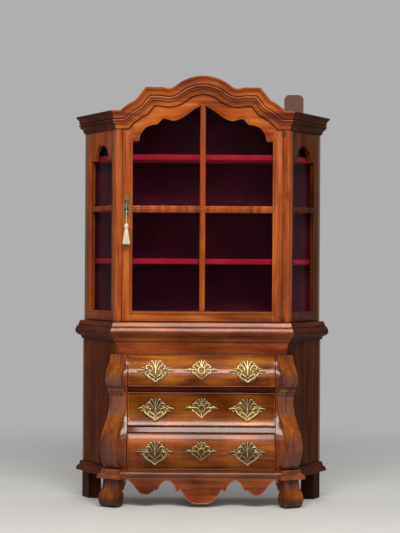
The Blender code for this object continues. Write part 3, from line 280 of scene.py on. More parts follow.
def welded(shape, distance):
    """The mesh of a shape whose close points are merged and whose faces look outwards."""
    bmesh.ops.remove_doubles(shape, verts=shape.verts, dist=distance)
    bmesh.ops.recalc_face_normals(shape, faces=shape.faces)
    return as_mesh(shape)


def sliced(mesh, way, places, distance=0.0):
    """A shape whose faces are cut by planes that stand across the way at the places."""
    shape = as_shape(mesh)
    for place in places:
        whole = shape.verts[:] + shape.edges[:] + shape.faces[:]
        bmesh.ops.bisect_plane(shape, geom=whole, dist=distance, plane_co=Vector(way) * place, plane_no=way)
    return shape


def merge(*meshes):
    return as_mesh(as_shape(*meshes))


def combine(mesh, other, operation="DIFFERENCE"):
    """An exact Boolean of two meshes."""
    first, second = link("first", mesh), link("second", other)
    modifier = first.modifiers.new("boolean", "BOOLEAN")
    modifier.operation = operation
    modifier.solver = "EXACT"
    modifier.object = second
    result = mesh_of(first)
    bpy.data.objects.remove(second, do_unlink=True)
    return result


def basis_matrix(basis):
    """The matrix of an origin and three axes."""
    origin, *axes = basis
    return Matrix([(*axis, 0.0) for axis in axes] + [(*origin, 1.0)]).transposed()


def cutout(loops, low, high, basis, rounding=0.0):
    """A flat outline with holes and a thickness from low to high; its arrises are rounded."""
    curve = bpy.data.curves.new("cutout", "CURVE")
    curve.dimensions = "2D"
    curve.fill_mode = "BOTH"
    curve.extrude = (high - low) / 2 - rounding
    curve.bevel_depth = rounding
    curve.bevel_resolution = 1
    curve.offset = -rounding
    for loop in loops:
        spline = curve.splines.new("POLY")
        spline.points.add(len(loop) - 1)
        for point, (u, v) in zip(spline.points, loop):
            point.co = (u, v, 0.0, 1.0)
        spline.use_cyclic_u = True
    mesh = mesh_of(link("cutout", curve))
    mesh.transform(basis_matrix(basis) @ Matrix.Translation((0, 0, (low + high) / 2)))
    return welded(as_shape(mesh), 1e-6)


def loft(rings, closed_path=False, open_rings=False):
    """Skins equal rings of points one to the next."""
    shape = bmesh.new()
    rows = [[shape.verts.new(point) for point in ring] for ring in rings]
    count = len(rows[0])
    pairs = list(zip(rows, rows[1:])) + ([(rows[-1], rows[0])] if closed_path else [])
    for ring, after in pairs:
        for i in range(count - open_rings):
            j = (i + 1) % count
            shape.faces.new((ring[i], ring[j], after[j], after[i]))
    if not closed_path:
        shape.faces.new(rows[0])
        shape.faces.new(rows[-1])
    return welded(shape, 1e-7)


def sweep(profile, stations, closed_path=False):
    """Carries a closed profile of (out, up) through stations of origin, out way and up way."""
    rings = []
    for station in stations:
        origin, out_way, up_way = vectors(station)
        rings.append([origin + out_way * out + up_way * up for out, up in profile])
    return loft(rings, closed_path)


def bar(profile, ends, out_way, up_way=(0, -1, 0)):
    """A straight moulding between two ends."""
    return sweep(profile, [(end, out_way, up_way) for end in ends])


def vectors(points):
    return [Vector(point) for point in points]


def thousandths(table):
    """A table, however nested, with each number over a thousand."""
    if isinstance(table, tuple):
        return tuple(thousandths(item) for item in table)
    return table / 1000


def angles(count):
    return [2 * math.pi * i / count for i in range(count)]


def tube(points, radii, sides, closed=False):
    """A round bar along points, whose radius may change."""
    points = vectors(points)
    count = len(points)
    if isinstance(radii, float):
        radii = [radii] * count
    rings = []
    side = None
    for i, point in enumerate(points):
        after = points[(i + 1) % count] if closed or i + 1 < count else point
        before = points[i - 1] if closed or i > 0 else point
        way = (after - before).normalized()
        if side is None:
            side = way.orthogonal().normalized()
        side = (side - way * side.dot(way)).normalized()
        other = way.cross(side)
        rings.append([point + (side * math.cos(a) + other * math.sin(a)) * radii[i] for a in angles(sides)])
    return loft(rings, closed)


def turned(profile, top, steps):
    """A turned piece from (radius, height) pairs, top to bottom, hung from a point."""
    top = Vector(top)
    rings = [[round_about(top, radius, a, height) for radius, height in profile] for a in angles(steps)]
    return loft(rings, closed_path=True, open_rings=True)


def round_about(centre, radius, angle, rise):
    """A point at a radius and an angle about an upright axis."""
    return centre + Vector((radius * math.cos(angle), radius * math.sin(angle), rise))


# Helpers for outlines

def arc(start, end, bulge, steps=8):
    """Points of an arc whose middle stands off the chord, to its left, by bulge."""
    start, end = Vector(start), Vector(end)
    chord = end - start
    if abs(bulge) < 1e-7:
        return [start, end]
    radius = (chord.length ** 2 / 4 + bulge ** 2) / (2 * abs(bulge))
    left = Vector((-chord.y, chord.x)).normalized()
    centre = (start + end) / 2 + left * (bulge - math.copysign(radius, bulge))
    whole = -math.copysign(2 * math.asin(min(chord.length / 2 / radius, 1.0)), bulge)
    return [centre + Matrix.Rotation(whole * i / steps, 2) @ (start - centre) for i in range(steps + 1)]


def outline(start, *moves, steps=6):
    """A line of points: each move is (u, v), or (u, v, bulge) for an arc to there."""
    points = [Vector(start)]
    for move in moves:
        if len(move) == 3:
            points += arc(points[-1], move[:2], move[2], steps)[1:]
        else:
            points.append(Vector(move))
    return points


def moulded(steps, *points):
    """A closed section in millimetres, each point as in outline."""
    return outline(*thousandths(points), steps=steps)


def smooth_line(points, steps, closed=False):
    """A Catmull-Rom curve through the points."""
    points = vectors(points)
    if closed:
        padded = [points[-1]] + points + points[:2]
    else:
        padded = [points[0] * 2 - points[1]] + points + [points[-1] * 2 - points[-2]]
    made = [] if closed else [points[0]]
    for a, b, c, d in zip(padded, padded[1:], padded[2:], padded[3:]):
        for i in range(1, steps + 1):
            t = i / steps
            made.append(0.5 * (2 * b + (c - a) * t + (2 * a - 5 * b + 4 * c - d) * t ** 2
                               + (3 * b - a - 3 * c + d) * t ** 3))
    return made


def flipped(points):
    """The points on the other side of the middle line."""
    return [Vector((-point.x, point.y)) for point in points]


def normals(points, closed=False):
    """Mitre vector at each point: one unit of offset to the line's left."""
    made = []
    count = len(points)
    for i in range(count):
        sides = []
        for a, b in ((i - 1, i), (i, i + 1)):
            if closed or (a >= 0 and b < count):
                run = (points[b % count] - points[a % count]).normalized()
                sides.append(Vector((-run.y, run.x)))
        if len(sides) == 1:
            made.append(sides[0])
        else:
            made.append((sides[0] + sides[1]) / max(1.0 + sides[0].dot(sides[1]), 0.3))
    return made


def offset_line(points, distance, closed=False):
    return [point + way * distance for point, way in zip(points, normals(points, closed))]


def meet(a, b, c, d, whole=False):
    """Where the segments a-b and c-d cross, or their lines if whole."""
    run, other, step = b - a, d - c, c - a
    base = run.x * other.y - run.y * other.x
    if abs(base) < 1e-12:
        return None
    share = (step.x * other.y - step.y * other.x) / base
    share_other = (step.x * run.y - step.y * run.x) / base
    if whole or (-1e-6 <= share <= 1 + 1e-6 and -1e-6 <= share_other <= 1 + 1e-6):
        return a + run * share
    return None


def clip_line(points, low_x, high_x):
    """The part of a left-to-right line between two x values."""
    def at(x):
        for a, b in zip(points, points[1:]):
            if a.x <= x <= b.x and b.x > a.x:
                return Vector((x, a.y + (b.y - a.y) * (x - a.x) / (b.x - a.x)))
        return Vector((x, points[0].y if x < points[0].x else points[-1].y))
    inside = [point for point in points if low_x + GAP < point.x < high_x - GAP]
    return [at(low_x)] + inside + [at(high_x)]


# The header's contour

def header_runs():
    """The arched underside of the cornice, left to right, as smooth runs between corners."""
    ledge = Vector((LEDGE_END_X, HEAD_OF_STEP[1]))
    dip = []
    for i in range(13):
        slope = -DIP_START_SLOPE + (DIP_START_SLOPE + ARCH_SLOPE) * i / 12
        rise = math.cos(DIP_START_SLOPE) - math.cos(slope)
        run = math.sin(DIP_START_SLOPE) + math.sin(slope)
        dip.append(ledge + Vector((-run, rise)) * DIP_RADIUS)
    foot = dip[-1]
    radius = foot.x / math.sin(ARCH_SLOPE)
    crown = []
    for i in range(1, 25):
        slope = ARCH_SLOPE * (1 - i / 12)
        rise = math.cos(slope) - math.cos(ARCH_SLOPE)
        crown.append(Vector((radius * math.sin(slope), foot.y + radius * rise)))
    middle = dip + crown + flipped(dip[:-1])[::-1]
    shoulder = Vector((SHOULDER_X, SHOULDER_Z))
    right = [
        [Vector((FRONT_HALF, SHOULDER_Z)), shoulder],
        arc(shoulder, FOOT_OF_STEP, -STEP_BULGE, 10),
        vectors((FOOT_OF_STEP, HEAD_OF_STEP)),
        [Vector(HEAD_OF_STEP), ledge],
    ]
    return [flipped(run) for run in right] + [middle[::-1]] + [run[::-1] for run in right[::-1]]


def joint_of(first, second):
    """Where one run ends and the next begins: an index in each and the point, crossed or mitred."""
    for i in range(len(first) - 1, 0, -1):
        for j in range(1, len(second)):
            point = meet(first[i - 1], first[i], second[j - 1], second[j])
            if point is not None:
                return i, j, point
    return len(first) - 1, 1, meet(first[-2], first[-1], second[0], second[1], whole=True)


def header_at(distance):
    """The header's runs moved up by the distance and joined."""
    runs = [offset_line(run, distance) for run in header_runs()]
    for first, second in zip(runs, runs[1:]):
        i, j, point = joint_of(first, second)
        first[i:] = [point.copy() for _ in first[i:]]
        second[:j] = [point.copy() for _ in second[:j]]
    return [point for run in runs for point in run]


def header_line(distance):
    """The moved header without repeated points."""
    made = []
    for point in header_at(distance):
        if not made or point.x > made[-1].x + 1e-5:
            made.append(point)
    return made


# Plan and swell

def plan_corner(step):
    return Vector((FRONT_HALF + step * MITRE_X, -step))


def rear_x(step, y=CASE_DEPTH):
    corner = plan_corner(step)
    return corner.x + (y - corner.y) * SIDE_ALONG.x / SIDE_ALONG.y


def truss_point(out, across):
    return TRUSS_BASE + TRUSS_OUT * out + TRUSS_ALONG * across


def basis_of(side, origin, along, out):
    """An origin and three axes on one side of the case: u and w level, v up."""
    return (side * origin.x, origin.y, 0), (side * along.x, along.y, 0), (0, 0, 1), (side * out.x, out.y, 0)


def truss_basis(side):
    """u runs outwards along the diagonal, v up, w along the width."""
    return basis_of(side, TRUSS_BASE, TRUSS_OUT, TRUSS_ALONG)


def canted_basis(side):
    """u runs back along the canted side, v up, w out of the case."""
    return basis_of(side, plan_corner(0.0), SIDE_ALONG, SIDE_OUT)


# Levels and the swell there, joined by half waves; below the last one the swell falls off to the foot
SWELLS = (
    (TRUSS_TOP_Z, TRUSS_TOP_SWELL), (UPPER_PEAK_Z, UPPER_PEAK_SWELL), (NECK_TOP_Z, NECK_SWELL),
    (NECK_Z, NECK_SWELL), (LOWER_PEAK_Z, LOWER_PEAK_SWELL),
)


def swell(z, knots=SWELLS):
    """How far the front swells at a level, measured along the diagonal."""
    if z >= knots[0][0]:
        return knots[0][1]
    for (high, start), (low, end) in zip(knots, knots[1:]):
        if z >= low:
            return start + (end - start) * (1 - math.cos(math.pi * (high - z) / (high - low))) / 2
    part = min((LOWER_PEAK_Z - z) / (LOWER_PEAK_Z - TRUSS_FOOT_Z), 1.0)
    return TRUSS_FOOT_SWELL + (LOWER_PEAK_SWELL - TRUSS_FOOT_SWELL) * math.cos(math.pi / 2 * part)


def lower_swell(z):
    return swell(z, SWELLS[3:])


def front_y(z):
    return -LOWER_STEP + TRUSS_OUT.y * (swell(z) - TRUSS_TOP_SWELL)


def levels(low, high, step=0.003):
    count = max(int(round((high - low) / step)), 1)
    return [low + (high - low) * i / count for i in range(count + 1)]


def swelled_section(low, high, back_y, raise_by=0.0):
    front = [(front_y(z) - raise_by, z) for z in levels(low, high)]
    return [(back_y, low)] + front + [(back_y, high)]


# Materials

class Nodes:
    """Adds nodes to a tree; their inputs are given in order or by name."""

    def __init__(self, owner):
        owner.use_nodes = True
        self.tree = owner.node_tree

    def node(self, kind, *values, settings=None, **inputs):
        made = self.tree.nodes.new(kind)
        for key, value in (settings or {}).items():
            setattr(made, key, value)
        self.feed(made, {**dict(enumerate(values)), **inputs})
        return made

    def feed(self, node, inputs):
        for key, value in inputs.items():
            socket = node.inputs[key.replace("_", " ") if isinstance(key, str) else key]
            if isinstance(value, bpy.types.NodeSocket):
                self.tree.links.new(value, socket)
            else:
                socket.default_value = value

    def reckon(self, operation, first, second):
        return self.node("ShaderNodeMath", first, second, settings={"operation": operation}).outputs[0]


class Shader(Nodes):
    """Builds one node material."""

    def __init__(self, name):
        self.material = bpy.data.materials.new(name)
        super().__init__(self.material)
        self.body = self.tree.nodes["Principled BSDF"]
        self.place = self.node("ShaderNodeTexCoord").outputs["Object"]

    def stretched(self, scale):
        return self.node("ShaderNodeMapping", Vector=self.place, Scale=scale).outputs["Vector"]

    def turn_to_sides(self):
        """Measures places along and across the canted sides, the same on the left and the right."""
        folded = self.node("ShaderNodeVectorMath", self.place, settings={"operation": "ABSOLUTE"})
        turn = (0.0, 0.0, -math.atan2(SIDE_ALONG.y, SIDE_ALONG.x))
        self.place = self.node("ShaderNodeMapping", Vector=folded.outputs[0], Rotation=turn).outputs["Vector"]

    def noise(self, vector, scale, detail, roughness, distortion=0.0):
        return self.node("ShaderNodeTexNoise", Vector=vector, Scale=scale, Detail=detail,
                         Roughness=roughness, Distortion=distortion).outputs["Fac"]

    def wave(self, vector, scale, distortion, detail):
        return self.node("ShaderNodeTexWave", Vector=vector, Scale=scale, Distortion=distortion,
                         Detail=detail).outputs["Fac"]

    def ramp(self, value, *stops):
        made = self.node("ShaderNodeValToRGB", Fac=value)
        elements = made.color_ramp.elements
        while len(elements) < len(stops):
            elements.new(0.5)
        for element, (at, color) in zip(elements, stops):
            element.position = at
            element.color = (*color, 1.0)
        return made.outputs["Color"]

    def by_height(self, stops):
        """A grey or a colour that follows the height above the floor, from (height, tone) stops."""
        height = self.node("ShaderNodeSeparateXYZ", Vector=self.place).outputs["Z"]
        low, high = stops[0][0], stops[-1][0]
        return self.ramp(self.fit(height, low, high), *(
            ((z - low) / (high - low), tone if isinstance(tone, tuple) else (tone,) * 3) for z, tone in stops
        ))

    def fit(self, value, low, high, new_low=0.0, new_high=1.0):
        return self.node("ShaderNodeMapRange", Value=value, From_Min=low, From_Max=high,
                         To_Min=new_low, To_Max=new_high).outputs["Result"]

    def add(self, value, *shares):
        """A value and shares of others, each with its factor."""
        for other, factor in shares:
            value = self.reckon("ADD", value, self.reckon("MULTIPLY", other, factor))
        return value

    def blend(self, factor, first, second, kind="MIX"):
        made = self.node("ShaderNodeMix", factor, settings={"data_type": "RGBA", "blend_type": kind})
        first, second = ((*item, 1.0) if isinstance(item, tuple) else item for item in (first, second))
        self.feed(made, {6: first, 7: second})
        return made.outputs[2]

    def grime_and_shade_in_hollows(self, color, grime_and_shade_tone, reach, low, high, most):
        """The colour darkened in corners and recesses, where little light comes in: painted shade, and on
        metal also its tarnish.
        """
        light = self.node("ShaderNodeAmbientOcclusion", settings={"samples": 6}, Distance=reach)
        return self.blend(self.fit(light.outputs["AO"], low, high, most, 0.0), color, grime_and_shade_tone)

    def bumps(self, height, strength, distance):
        made = self.node("ShaderNodeBump", Height=height, Strength=strength, Distance=distance)
        self.feed(self.body, {"Normal": made.outputs["Normal"]})

    def finish(self, color, roughness, **constants):
        self.feed(self.body, {"Base Color": color, "Roughness": roughness, **constants})
        return self.material

    def let_through(self, share, tint=(1.0, 1.0, 1.0, 1.0)):
        """Lets a share of the rays pass straight on."""
        clear = self.node("ShaderNodeBsdfTransparent", Color=tint)
        mix = self.node("ShaderNodeMixShader", share, self.body.outputs["BSDF"], clear.outputs["BSDF"])
        self.feed(self.tree.nodes["Material Output"], {"Surface": mix.outputs["Shader"]})


UPRIGHT = (1.0, 1.0, 0.07)
LEVEL = (0.07, 1.0, 1.0)
# Dark of the open pores, and also the painted shade laid into hollows on the polished wood
PORE_AND_SHADE_DARK = (0.030, 0.008, 0.003)
WARM_GLOSS = (1.0, 0.62, 0.34, 1.0)


def polished_wood(name, dark, middle, light, grain, coat=0.34, figure=0.14, fleck=0.30, ribbon=0.0,
                  canted=False, right=1.0, painted_tone_by_height=(), polish=(), haze=0.11, layer=1.5):
    """French-polished veneer: long grain, cross figure, open pores, painted shade in the hollows; where
    asked, painted light and shade by height and painted shade on the cabinet's right-hand side.
    """
    dark, middle, light = thousandths((dark, middle, light))
    shader = Shader(name)
    whole = shader.place
    if canted:
        shader.turn_to_sides()
    along = shader.stretched(grain)
    crosswise = [item == 1.0 for item in grain]
    broad = shader.noise(along, 30.0, 6.0, 0.58, 1.3)
    fine = shader.noise(along, 190.0, 4.0, 0.62)
    cloud = shader.noise(shader.place, 6.0, 4.0, 0.55, 0.6)
    bands = shader.wave(shader.stretched([1.0 if item else 0.16 for item in crosswise]), 7.0, 9.0, 4.0)
    shares = [(bands, figure), (fine, fleck), (cloud, 0.60)]
    if ribbon:
        flame = shader.stretched([0.10 if item else 1.0 for item in crosswise])
        shares.append((shader.noise(flame, 26.0, 3.0, 0.5, 1.6), ribbon))
    span = 1.0 + sum(factor for _, factor in shares)
    tone = shader.fit(shader.add(broad, *shares), 0.36 * span, 0.63 * span)
    color = shader.ramp(tone, (0.0, dark), (0.5, middle), (1.0, light))
    pores = shader.noise(shader.stretched([3.2 * item for item in grain]), 380.0, 2.0, 0.5)
    color = shader.blend(shader.fit(pores, 0.60, 0.70, 0.0, 0.42), color, PORE_AND_SHADE_DARK)
    # Painted shade: darker in corners and recesses, where the occlusion finds little light
    color = shader.grime_and_shade_in_hollows(color, PORE_AND_SHADE_DARK, 0.012, 0.30, 0.88, 0.92)
    # Painted light and shade: the colour is lightened, darkened and tinted by height, as light falls on the
    # shape
    if painted_tone_by_height:
        color = shader.blend(1.0, color, shader.by_height(painted_tone_by_height), "MULTIPLY")
    # Painted shade: the cabinet's right-hand side is made darker by the share given as right
    if right < 1.0:
        part = shader.fit(shader.node("ShaderNodeSeparateXYZ", Vector=whole).outputs["X"], -0.1, 0.1)
        shade = shader.ramp(part, (0.0, (1.0,) * 3), (1.0, (right,) * 3))
        color = shader.blend(1.0, color, shade, "MULTIPLY")
    rough = shader.fit(shader.noise(shader.place, 26.0, 4.0, 0.6), 0.3, 0.7, 0.24, 0.39)
    shader.bumps(shader.add(fine, (pores, -0.6)), 0.08, 0.0005)
    if polish:
        shader.feed(shader.body, {"Coat Weight": shader.by_height(polish)})
    return shader.finish(color, rough, Coat_Weight=coat, Coat_Roughness=haze, Coat_IOR=layer,
                         Specular_IOR_Level=0.02, Specular_Tint=WARM_GLOSS)


def plain_wood(name, dark, light, grain):
    """Oiled secondary wood with an open grain."""
    dark, light = thousandths((dark, light))
    shader = Shader(name)
    along = shader.stretched(grain)
    broad = shader.noise(along, 22.0, 5.0, 0.6, 0.8)
    fine = shader.noise(along, 190.0, 3.0, 0.6)
    tone = shader.fit(shader.add(broad, (fine, 0.4)), 0.45, 0.95)
    color = shader.ramp(tone, (0.0, dark), (1.0, light))
    # Painted shade: the boards darken in corners and recesses
    color = shader.grime_and_shade_in_hollows(color, tuple(0.35 * item for item in dark), 0.03, 0.3, 0.9, 0.6)
    shader.bumps(fine, 0.18, 0.0008)
    return shader.finish(color, shader.fit(broad, 0.3, 0.7, 0.56, 0.70))


def aged_metal(name, bright, tarnish, roughness):
    """Lacquered metal, dull and brown in its hollows."""
    bright, tarnish = thousandths((bright, tarnish))
    shader = Shader(name)
    cloud = shader.noise(shader.place, 60.0, 5.0, 0.65)
    spots = shader.noise(shader.place, 420.0, 3.0, 0.6)
    stained = tuple(0.72 * a + 0.28 * b for a, b in zip(bright, tarnish))
    color = shader.blend(shader.fit(cloud, 0.52, 0.78, 0.0, 0.45), bright, stained)
    color = shader.grime_and_shade_in_hollows(color, tarnish, 0.007, 0.42, 0.93, 0.96)
    shader.bumps(shader.reckon("ADD", cloud, spots), 0.05, 0.0005)
    rough = shader.fit(spots, 0.3, 0.7, roughness - 0.05, roughness + 0.14)
    return shader.finish(color, rough, Metallic=1.0)


def velvet(name, deep, pile):
    """Crushed velvet with a soft sheen."""
    deep, pile = thousandths((deep, pile))
    shader = Shader(name)
    brushed = shader.noise(shader.place, 9.0, 4.0, 0.6, 0.6)
    nap = shader.noise(shader.stretched((1.0, 1.0, 0.35)), 700.0, 2.0, 0.6)
    color = shader.ramp(shader.fit(shader.add(brushed, (nap, 0.5)), 0.5, 1.0), (0.0, deep), (1.0, pile))
    shader.bumps(nap, 0.06, 0.0004)
    return shader.finish(color, 0.92, Sheen_Weight=0.10, Sheen_Roughness=0.35, Specular_IOR_Level=0.05,
                         Sheen_Tint=(1.0, 0.25, 0.35, 1.0))


def twisted_thread(name, shadow, light):
    """Ivory silk whose strands run round the thread."""
    shadow, light = thousandths((shadow, light))
    shader = Shader(name)
    strands = shader.wave(shader.stretched((1.0, 1.0, 0.6)), 900.0, 1.5, 1.0)
    worn = shader.noise(shader.place, 140.0, 4.0, 0.6)
    tone = shader.add(shader.reckon("MULTIPLY", strands, 0.45), (worn, 0.55))
    color = shader.ramp(tone, (0.12, shadow), (0.62, light))
    color = shader.grime_and_shade_in_hollows(color, shadow, 0.004, 0.3, 0.9, 0.6)
    shader.bumps(strands, 0.5, 0.0004)
    return shader.finish(color, 0.62, Sheen_Weight=0.25, Sheen_Roughness=0.4)


def window_glass(name):
    """Old clear glass, open to light and shadow."""
    shader = Shader(name)
    film = shader.noise(shader.place, 45.0, 5.0, 0.65)
    tint = shader.ramp(film, (0.35, (0.90, 0.95, 0.93)), (0.75, (0.97, 0.99, 0.98)))
    rays = shader.node("ShaderNodeLightPath").outputs
    shader.let_through(shader.reckon("MAXIMUM", rays["Is Shadow Ray"], rays["Is Diffuse Ray"]),
                       (0.90, 0.93, 0.92, 1.0))
    return shader.finish(tint, 0.0, Transmission_Weight=1.0, IOR=1.06)


def plain_floor(name):
    """Pale paper that fades into the surround away from the cabinet."""
    shader = Shader(name)
    cloud = shader.noise(shader.place, 3.0, 4.0, 0.6)
    color = shader.ramp(cloud, (0.3, (0.66, 0.655, 0.645)), (0.7, (0.70, 0.695, 0.685)))
    reach = shader.node("ShaderNodeVectorMath", shader.place, settings={"operation": "LENGTH"})
    fade = shader.node("ShaderNodeMapRange", settings={"interpolation_type": "SMOOTHSTEP"},
                       Value=reach.outputs["Value"], From_Min=1.3, From_Max=3.4)
    shader.let_through(fade.outputs["Result"])
    return shader.finish(color, 0.82)


# Tones are in thousandths; the painted light and shade and the polish are given by the height in metres
FRONT_WOOD = polished_wood("front_veneer", (140, 21, 4), (325, 64, 10), (500, 128, 21), UPRIGHT)
RAIL_WOOD = polished_wood(
    "front_rails", (120, 20, 4), (300, 60, 9), (480, 125, 20), LEVEL,
    polish=((0.70, 0.34), (1.50, 0.34), (1.56, 0.04), (1.70, 0.04)),
)
FRIEZE_WOOD = polished_wood("frieze_veneer", (80, 14, 3), (190, 34, 6), (310, 68, 12), LEVEL, coat=0.22)
# Painted shadow on the waist moulding: its lower part darker, most of all on the torus
MOULDING_PAINTED_SHADOW = ((0.655, 0.85), (0.674, 0.85), (0.680, 0.50), (0.692, 0.50), (0.699, 1.0), (1.70, 1.0))
CORNICE_WOOD = polished_wood(
    "cornice_veneer", (100, 17, 4), (260, 52, 9), (420, 105, 18), LEVEL, coat=0.36,
    painted_tone_by_height=MOULDING_PAINTED_SHADOW,
)
# Painted shade: a darker copy of the moulding wood for the canted returns, darker again on the right
SHADED_RETURN_WOOD = polished_wood(
    "side_returns", (28, 5, 2), (75, 14, 4), (130, 28, 7), LEVEL, coat=0.05, canted=True, right=0.70,
)
# Painted light and shade on the drawer fronts: lighter where the swell faces up, darker where it turns under
DRAWER_PAINTED_LIGHT_AND_SHADE = (
    (0.145, 0.55), (0.215, 0.74), (0.262, 1.1), (0.334, 1.1), (0.350, 0.62), (0.375, 0.54), (0.420, 0.42),
    (0.475, 0.50), (0.515, 0.80), (0.545, 0.90), (0.606, 0.80),
)
DRAWER_POLISH = (
    (0.145, 0.13), (0.255, 0.20), (0.264, 1.00), (0.292, 1.00), (0.300, 0.24), (0.334, 0.24),
    (0.344, 0.02), (0.480, 0.04), (0.526, 0.22), (0.545, 0.22), (0.552, 0.02), (0.606, 0.02),
)
DRAWER_WOOD = polished_wood(
    "drawer_veneer", (90, 15, 2), (300, 70, 6), (540, 165, 14), LEVEL, coat=0.34, figure=0.30,
    ribbon=0.25, painted_tone_by_height=DRAWER_PAINTED_LIGHT_AND_SHADE, polish=DRAWER_POLISH, haze=0.075, layer=1.8,
)
BEAD_WOOD = polished_wood("cock_beads", (120, 24, 5), (280, 68, 12), (440, 125, 22), LEVEL, coat=0.9)
# Drawer rails: dark tones standing for the shade under the drawers' swells, with painted shade making the
# upper rail darker still
SHADED_DIVIDER_WOOD = polished_wood(
    "drawer_rails", (50, 8, 2), (120, 21, 4), (200, 42, 8), LEVEL,
    painted_tone_by_height=((0.30, 1.0), (0.40, 1.0), (0.45, 0.45), (0.55, 0.45)),
    polish=((0.30, 0.45), (0.40, 0.45), (0.45, 0.10), (0.55, 0.10)),
)
STILE_WOOD = polished_wood("lower_stiles", (60, 10, 3), (150, 28, 6), (250, 55, 10), UPRIGHT, coat=0.5)
BASE_WOOD = polished_wood(
    "base_veneer", (60, 11, 3), (160, 32, 7), (280, 66, 14), LEVEL,
    polish=((0.0, 0.30), (0.107, 0.30), (0.113, 0.9), (0.20, 0.9)),
)
# Painted light and reflection on the front feet: a warm lit band, and greyer, bluer tones on the neck and the
# roll standing for reflections
FOOT_PAINTED_LIGHT_AND_REFLECTION = (
    (0.0, (0.80, 1.0, 1.6)), (0.032, (0.80, 1.0, 1.6)), (0.044, (1.7, 1.5, 0.7)), (0.066, (1.7, 1.5, 0.7)),
    (0.078, (1.2, 1.35, 1.8)), (0.115, (1.2, 1.35, 1.8)),
)
FOOT_WOOD = polished_wood(
    "foot_wood", (35, 9, 4), (90, 26, 10), (170, 50, 16), UPRIGHT, coat=0.30, painted_tone_by_height=FOOT_PAINTED_LIGHT_AND_REFLECTION,
)
# Painted shade: the rear feet darker and greyer below the case, and the right-hand side darker
SIDE_WOOD = polished_wood(
    "side_veneer", (35, 6, 2), (90, 18, 4), (155, 34, 8), UPRIGHT, coat=0.03, right=0.58,
    painted_tone_by_height=((0.0, (0.42, 0.60, 1.0)), (0.100, (0.42, 0.60, 1.0)), (0.112, 1.0), (0.66, 1.0)),
)
# Painted shade: the right-hand side frame much darker than the left
SHADE_WOOD = polished_wood(
    "side_mouldings", (90, 16, 4), (240, 48, 8), (380, 90, 14), UPRIGHT, coat=0.10, right=0.32,
)
# Painted light and reflection on the trusses: warm lit bands where the scrolls face up, greyer and bluer
# tones where they face away
TRUSS_PAINTED_LIGHT_AND_REFLECTION = (
    (0.145, (0.70, 0.92, 2.0)), (0.255, (0.75, 0.92, 2.0)), (0.300, (1.25, 1.30, 0.40)),
    (0.352, (1.25, 1.30, 0.40)), (0.378, (0.92, 1.25, 2.8)), (0.448, (0.92, 1.25, 2.8)),
    (0.470, (0.68, 0.85, 2.4)), (0.516, (0.68, 0.85, 2.4)), (0.536, (1.05, 1.0, 0.30)),
    (0.590, (1.05, 1.0, 0.30)), (0.607, (0.9, 1.1, 1.5)),
)
TRUSS_WOOD = polished_wood(
    "truss_veneer", (75, 16, 5), (190, 44, 10), (320, 88, 18), UPRIGHT, coat=0.50, figure=0.05,
    fleck=0.16, painted_tone_by_height=TRUSS_PAINTED_LIGHT_AND_REFLECTION,
)
INNER_WOOD = plain_wood("inner_boards", (200, 115, 55), (360, 235, 125), (0.08, 1.0, 1.0))
DARK_INNER = plain_wood("inner_dark", (55, 16, 10), (110, 32, 18), UPRIGHT)
BACK_WOOD = plain_wood("back_boards", (120, 62, 30), (250, 145, 75), UPRIGHT)
BRASS = aged_metal("gilt_brass", (600, 460, 230), (40, 22, 8), 0.28)
# Dark brass for the plates' deep ground, partly painted shade between the scrolls; also used for the hinges
BRASS_GROUND = aged_metal("dark_brass", (130, 75, 26), (16, 8, 3), 0.42)
STEEL = aged_metal("lock_metal", (520, 500, 460), (120, 100, 80), 0.36)
VELVET = velvet("crimson_velvet", (200, 4, 14), (480, 12, 40))
# The back lining: a far darker copy of the crimson velvet, partly painted shade inside the case
SHADED_LINING = velvet("lining_velvet", (30, 3, 9), (85, 8, 22))
THREAD = twisted_thread("ivory_silk", (420, 350, 180), (840, 800, 580))
GLASS = window_glass("old_glass")
FLOOR = plain_floor("floor_paper")

NODE_MATERIALS = {
    SIDE_WOOD: ("left_lower_side", "right_lower_side", "left_rear_foot", "right_rear_foot"),
    FRONT_WOOD: ("upper_front_frame", "door_frame"),
    FRIEZE_WOOD: ("front_frame",),
    TRUSS_WOOD: ("left_truss", "right_truss"),
    SHADED_DIVIDER_WOOD: ("upper_drawer_divider", "lower_drawer_divider"),
    CORNICE_WOOD: ("pediment_cornice", "waist_moulding"),
    DRAWER_WOOD: ("top_drawer_front", "middle_drawer_front", "bottom_drawer_front"),
    BASE_WOOD: ("base_board", "plinth_moulding", "apron"),
    FOOT_WOOD: ("left_front_foot", "right_front_foot"),
    SHADE_WOOD: ("left_side_frame", "right_side_frame"),
    BACK_WOOD: ("lower_back", "upper_back", "roof_board"),
    DARK_INNER: ("upper_floor", "rear_upstand"),
    INNER_WOOD: ("top_drawer_box", "middle_drawer_box", "bottom_drawer_box"),
    VELVET: ("lower_shelf", "middle_shelf", "upper_shelf"),
    GLASS: ("left_side_glass", "right_side_glass", "door_glass"),
    STEEL: ("door_lock", "lock_bolt"),
    THREAD: ("key_cord", "key_tassel"),
}


def dress_solids():
    """Every solid that stays gets its own surface; brass is what is left."""
    given = {name: material for material, names in NODE_MATERIALS.items() for name in names}
    for thing in bpy.context.scene.objects:
        if thing.type == "MESH":
            node = thing.name.split(".")[0]
            thing.data.materials.clear()
            thing.data.materials.append(given.get(node, BRASS))


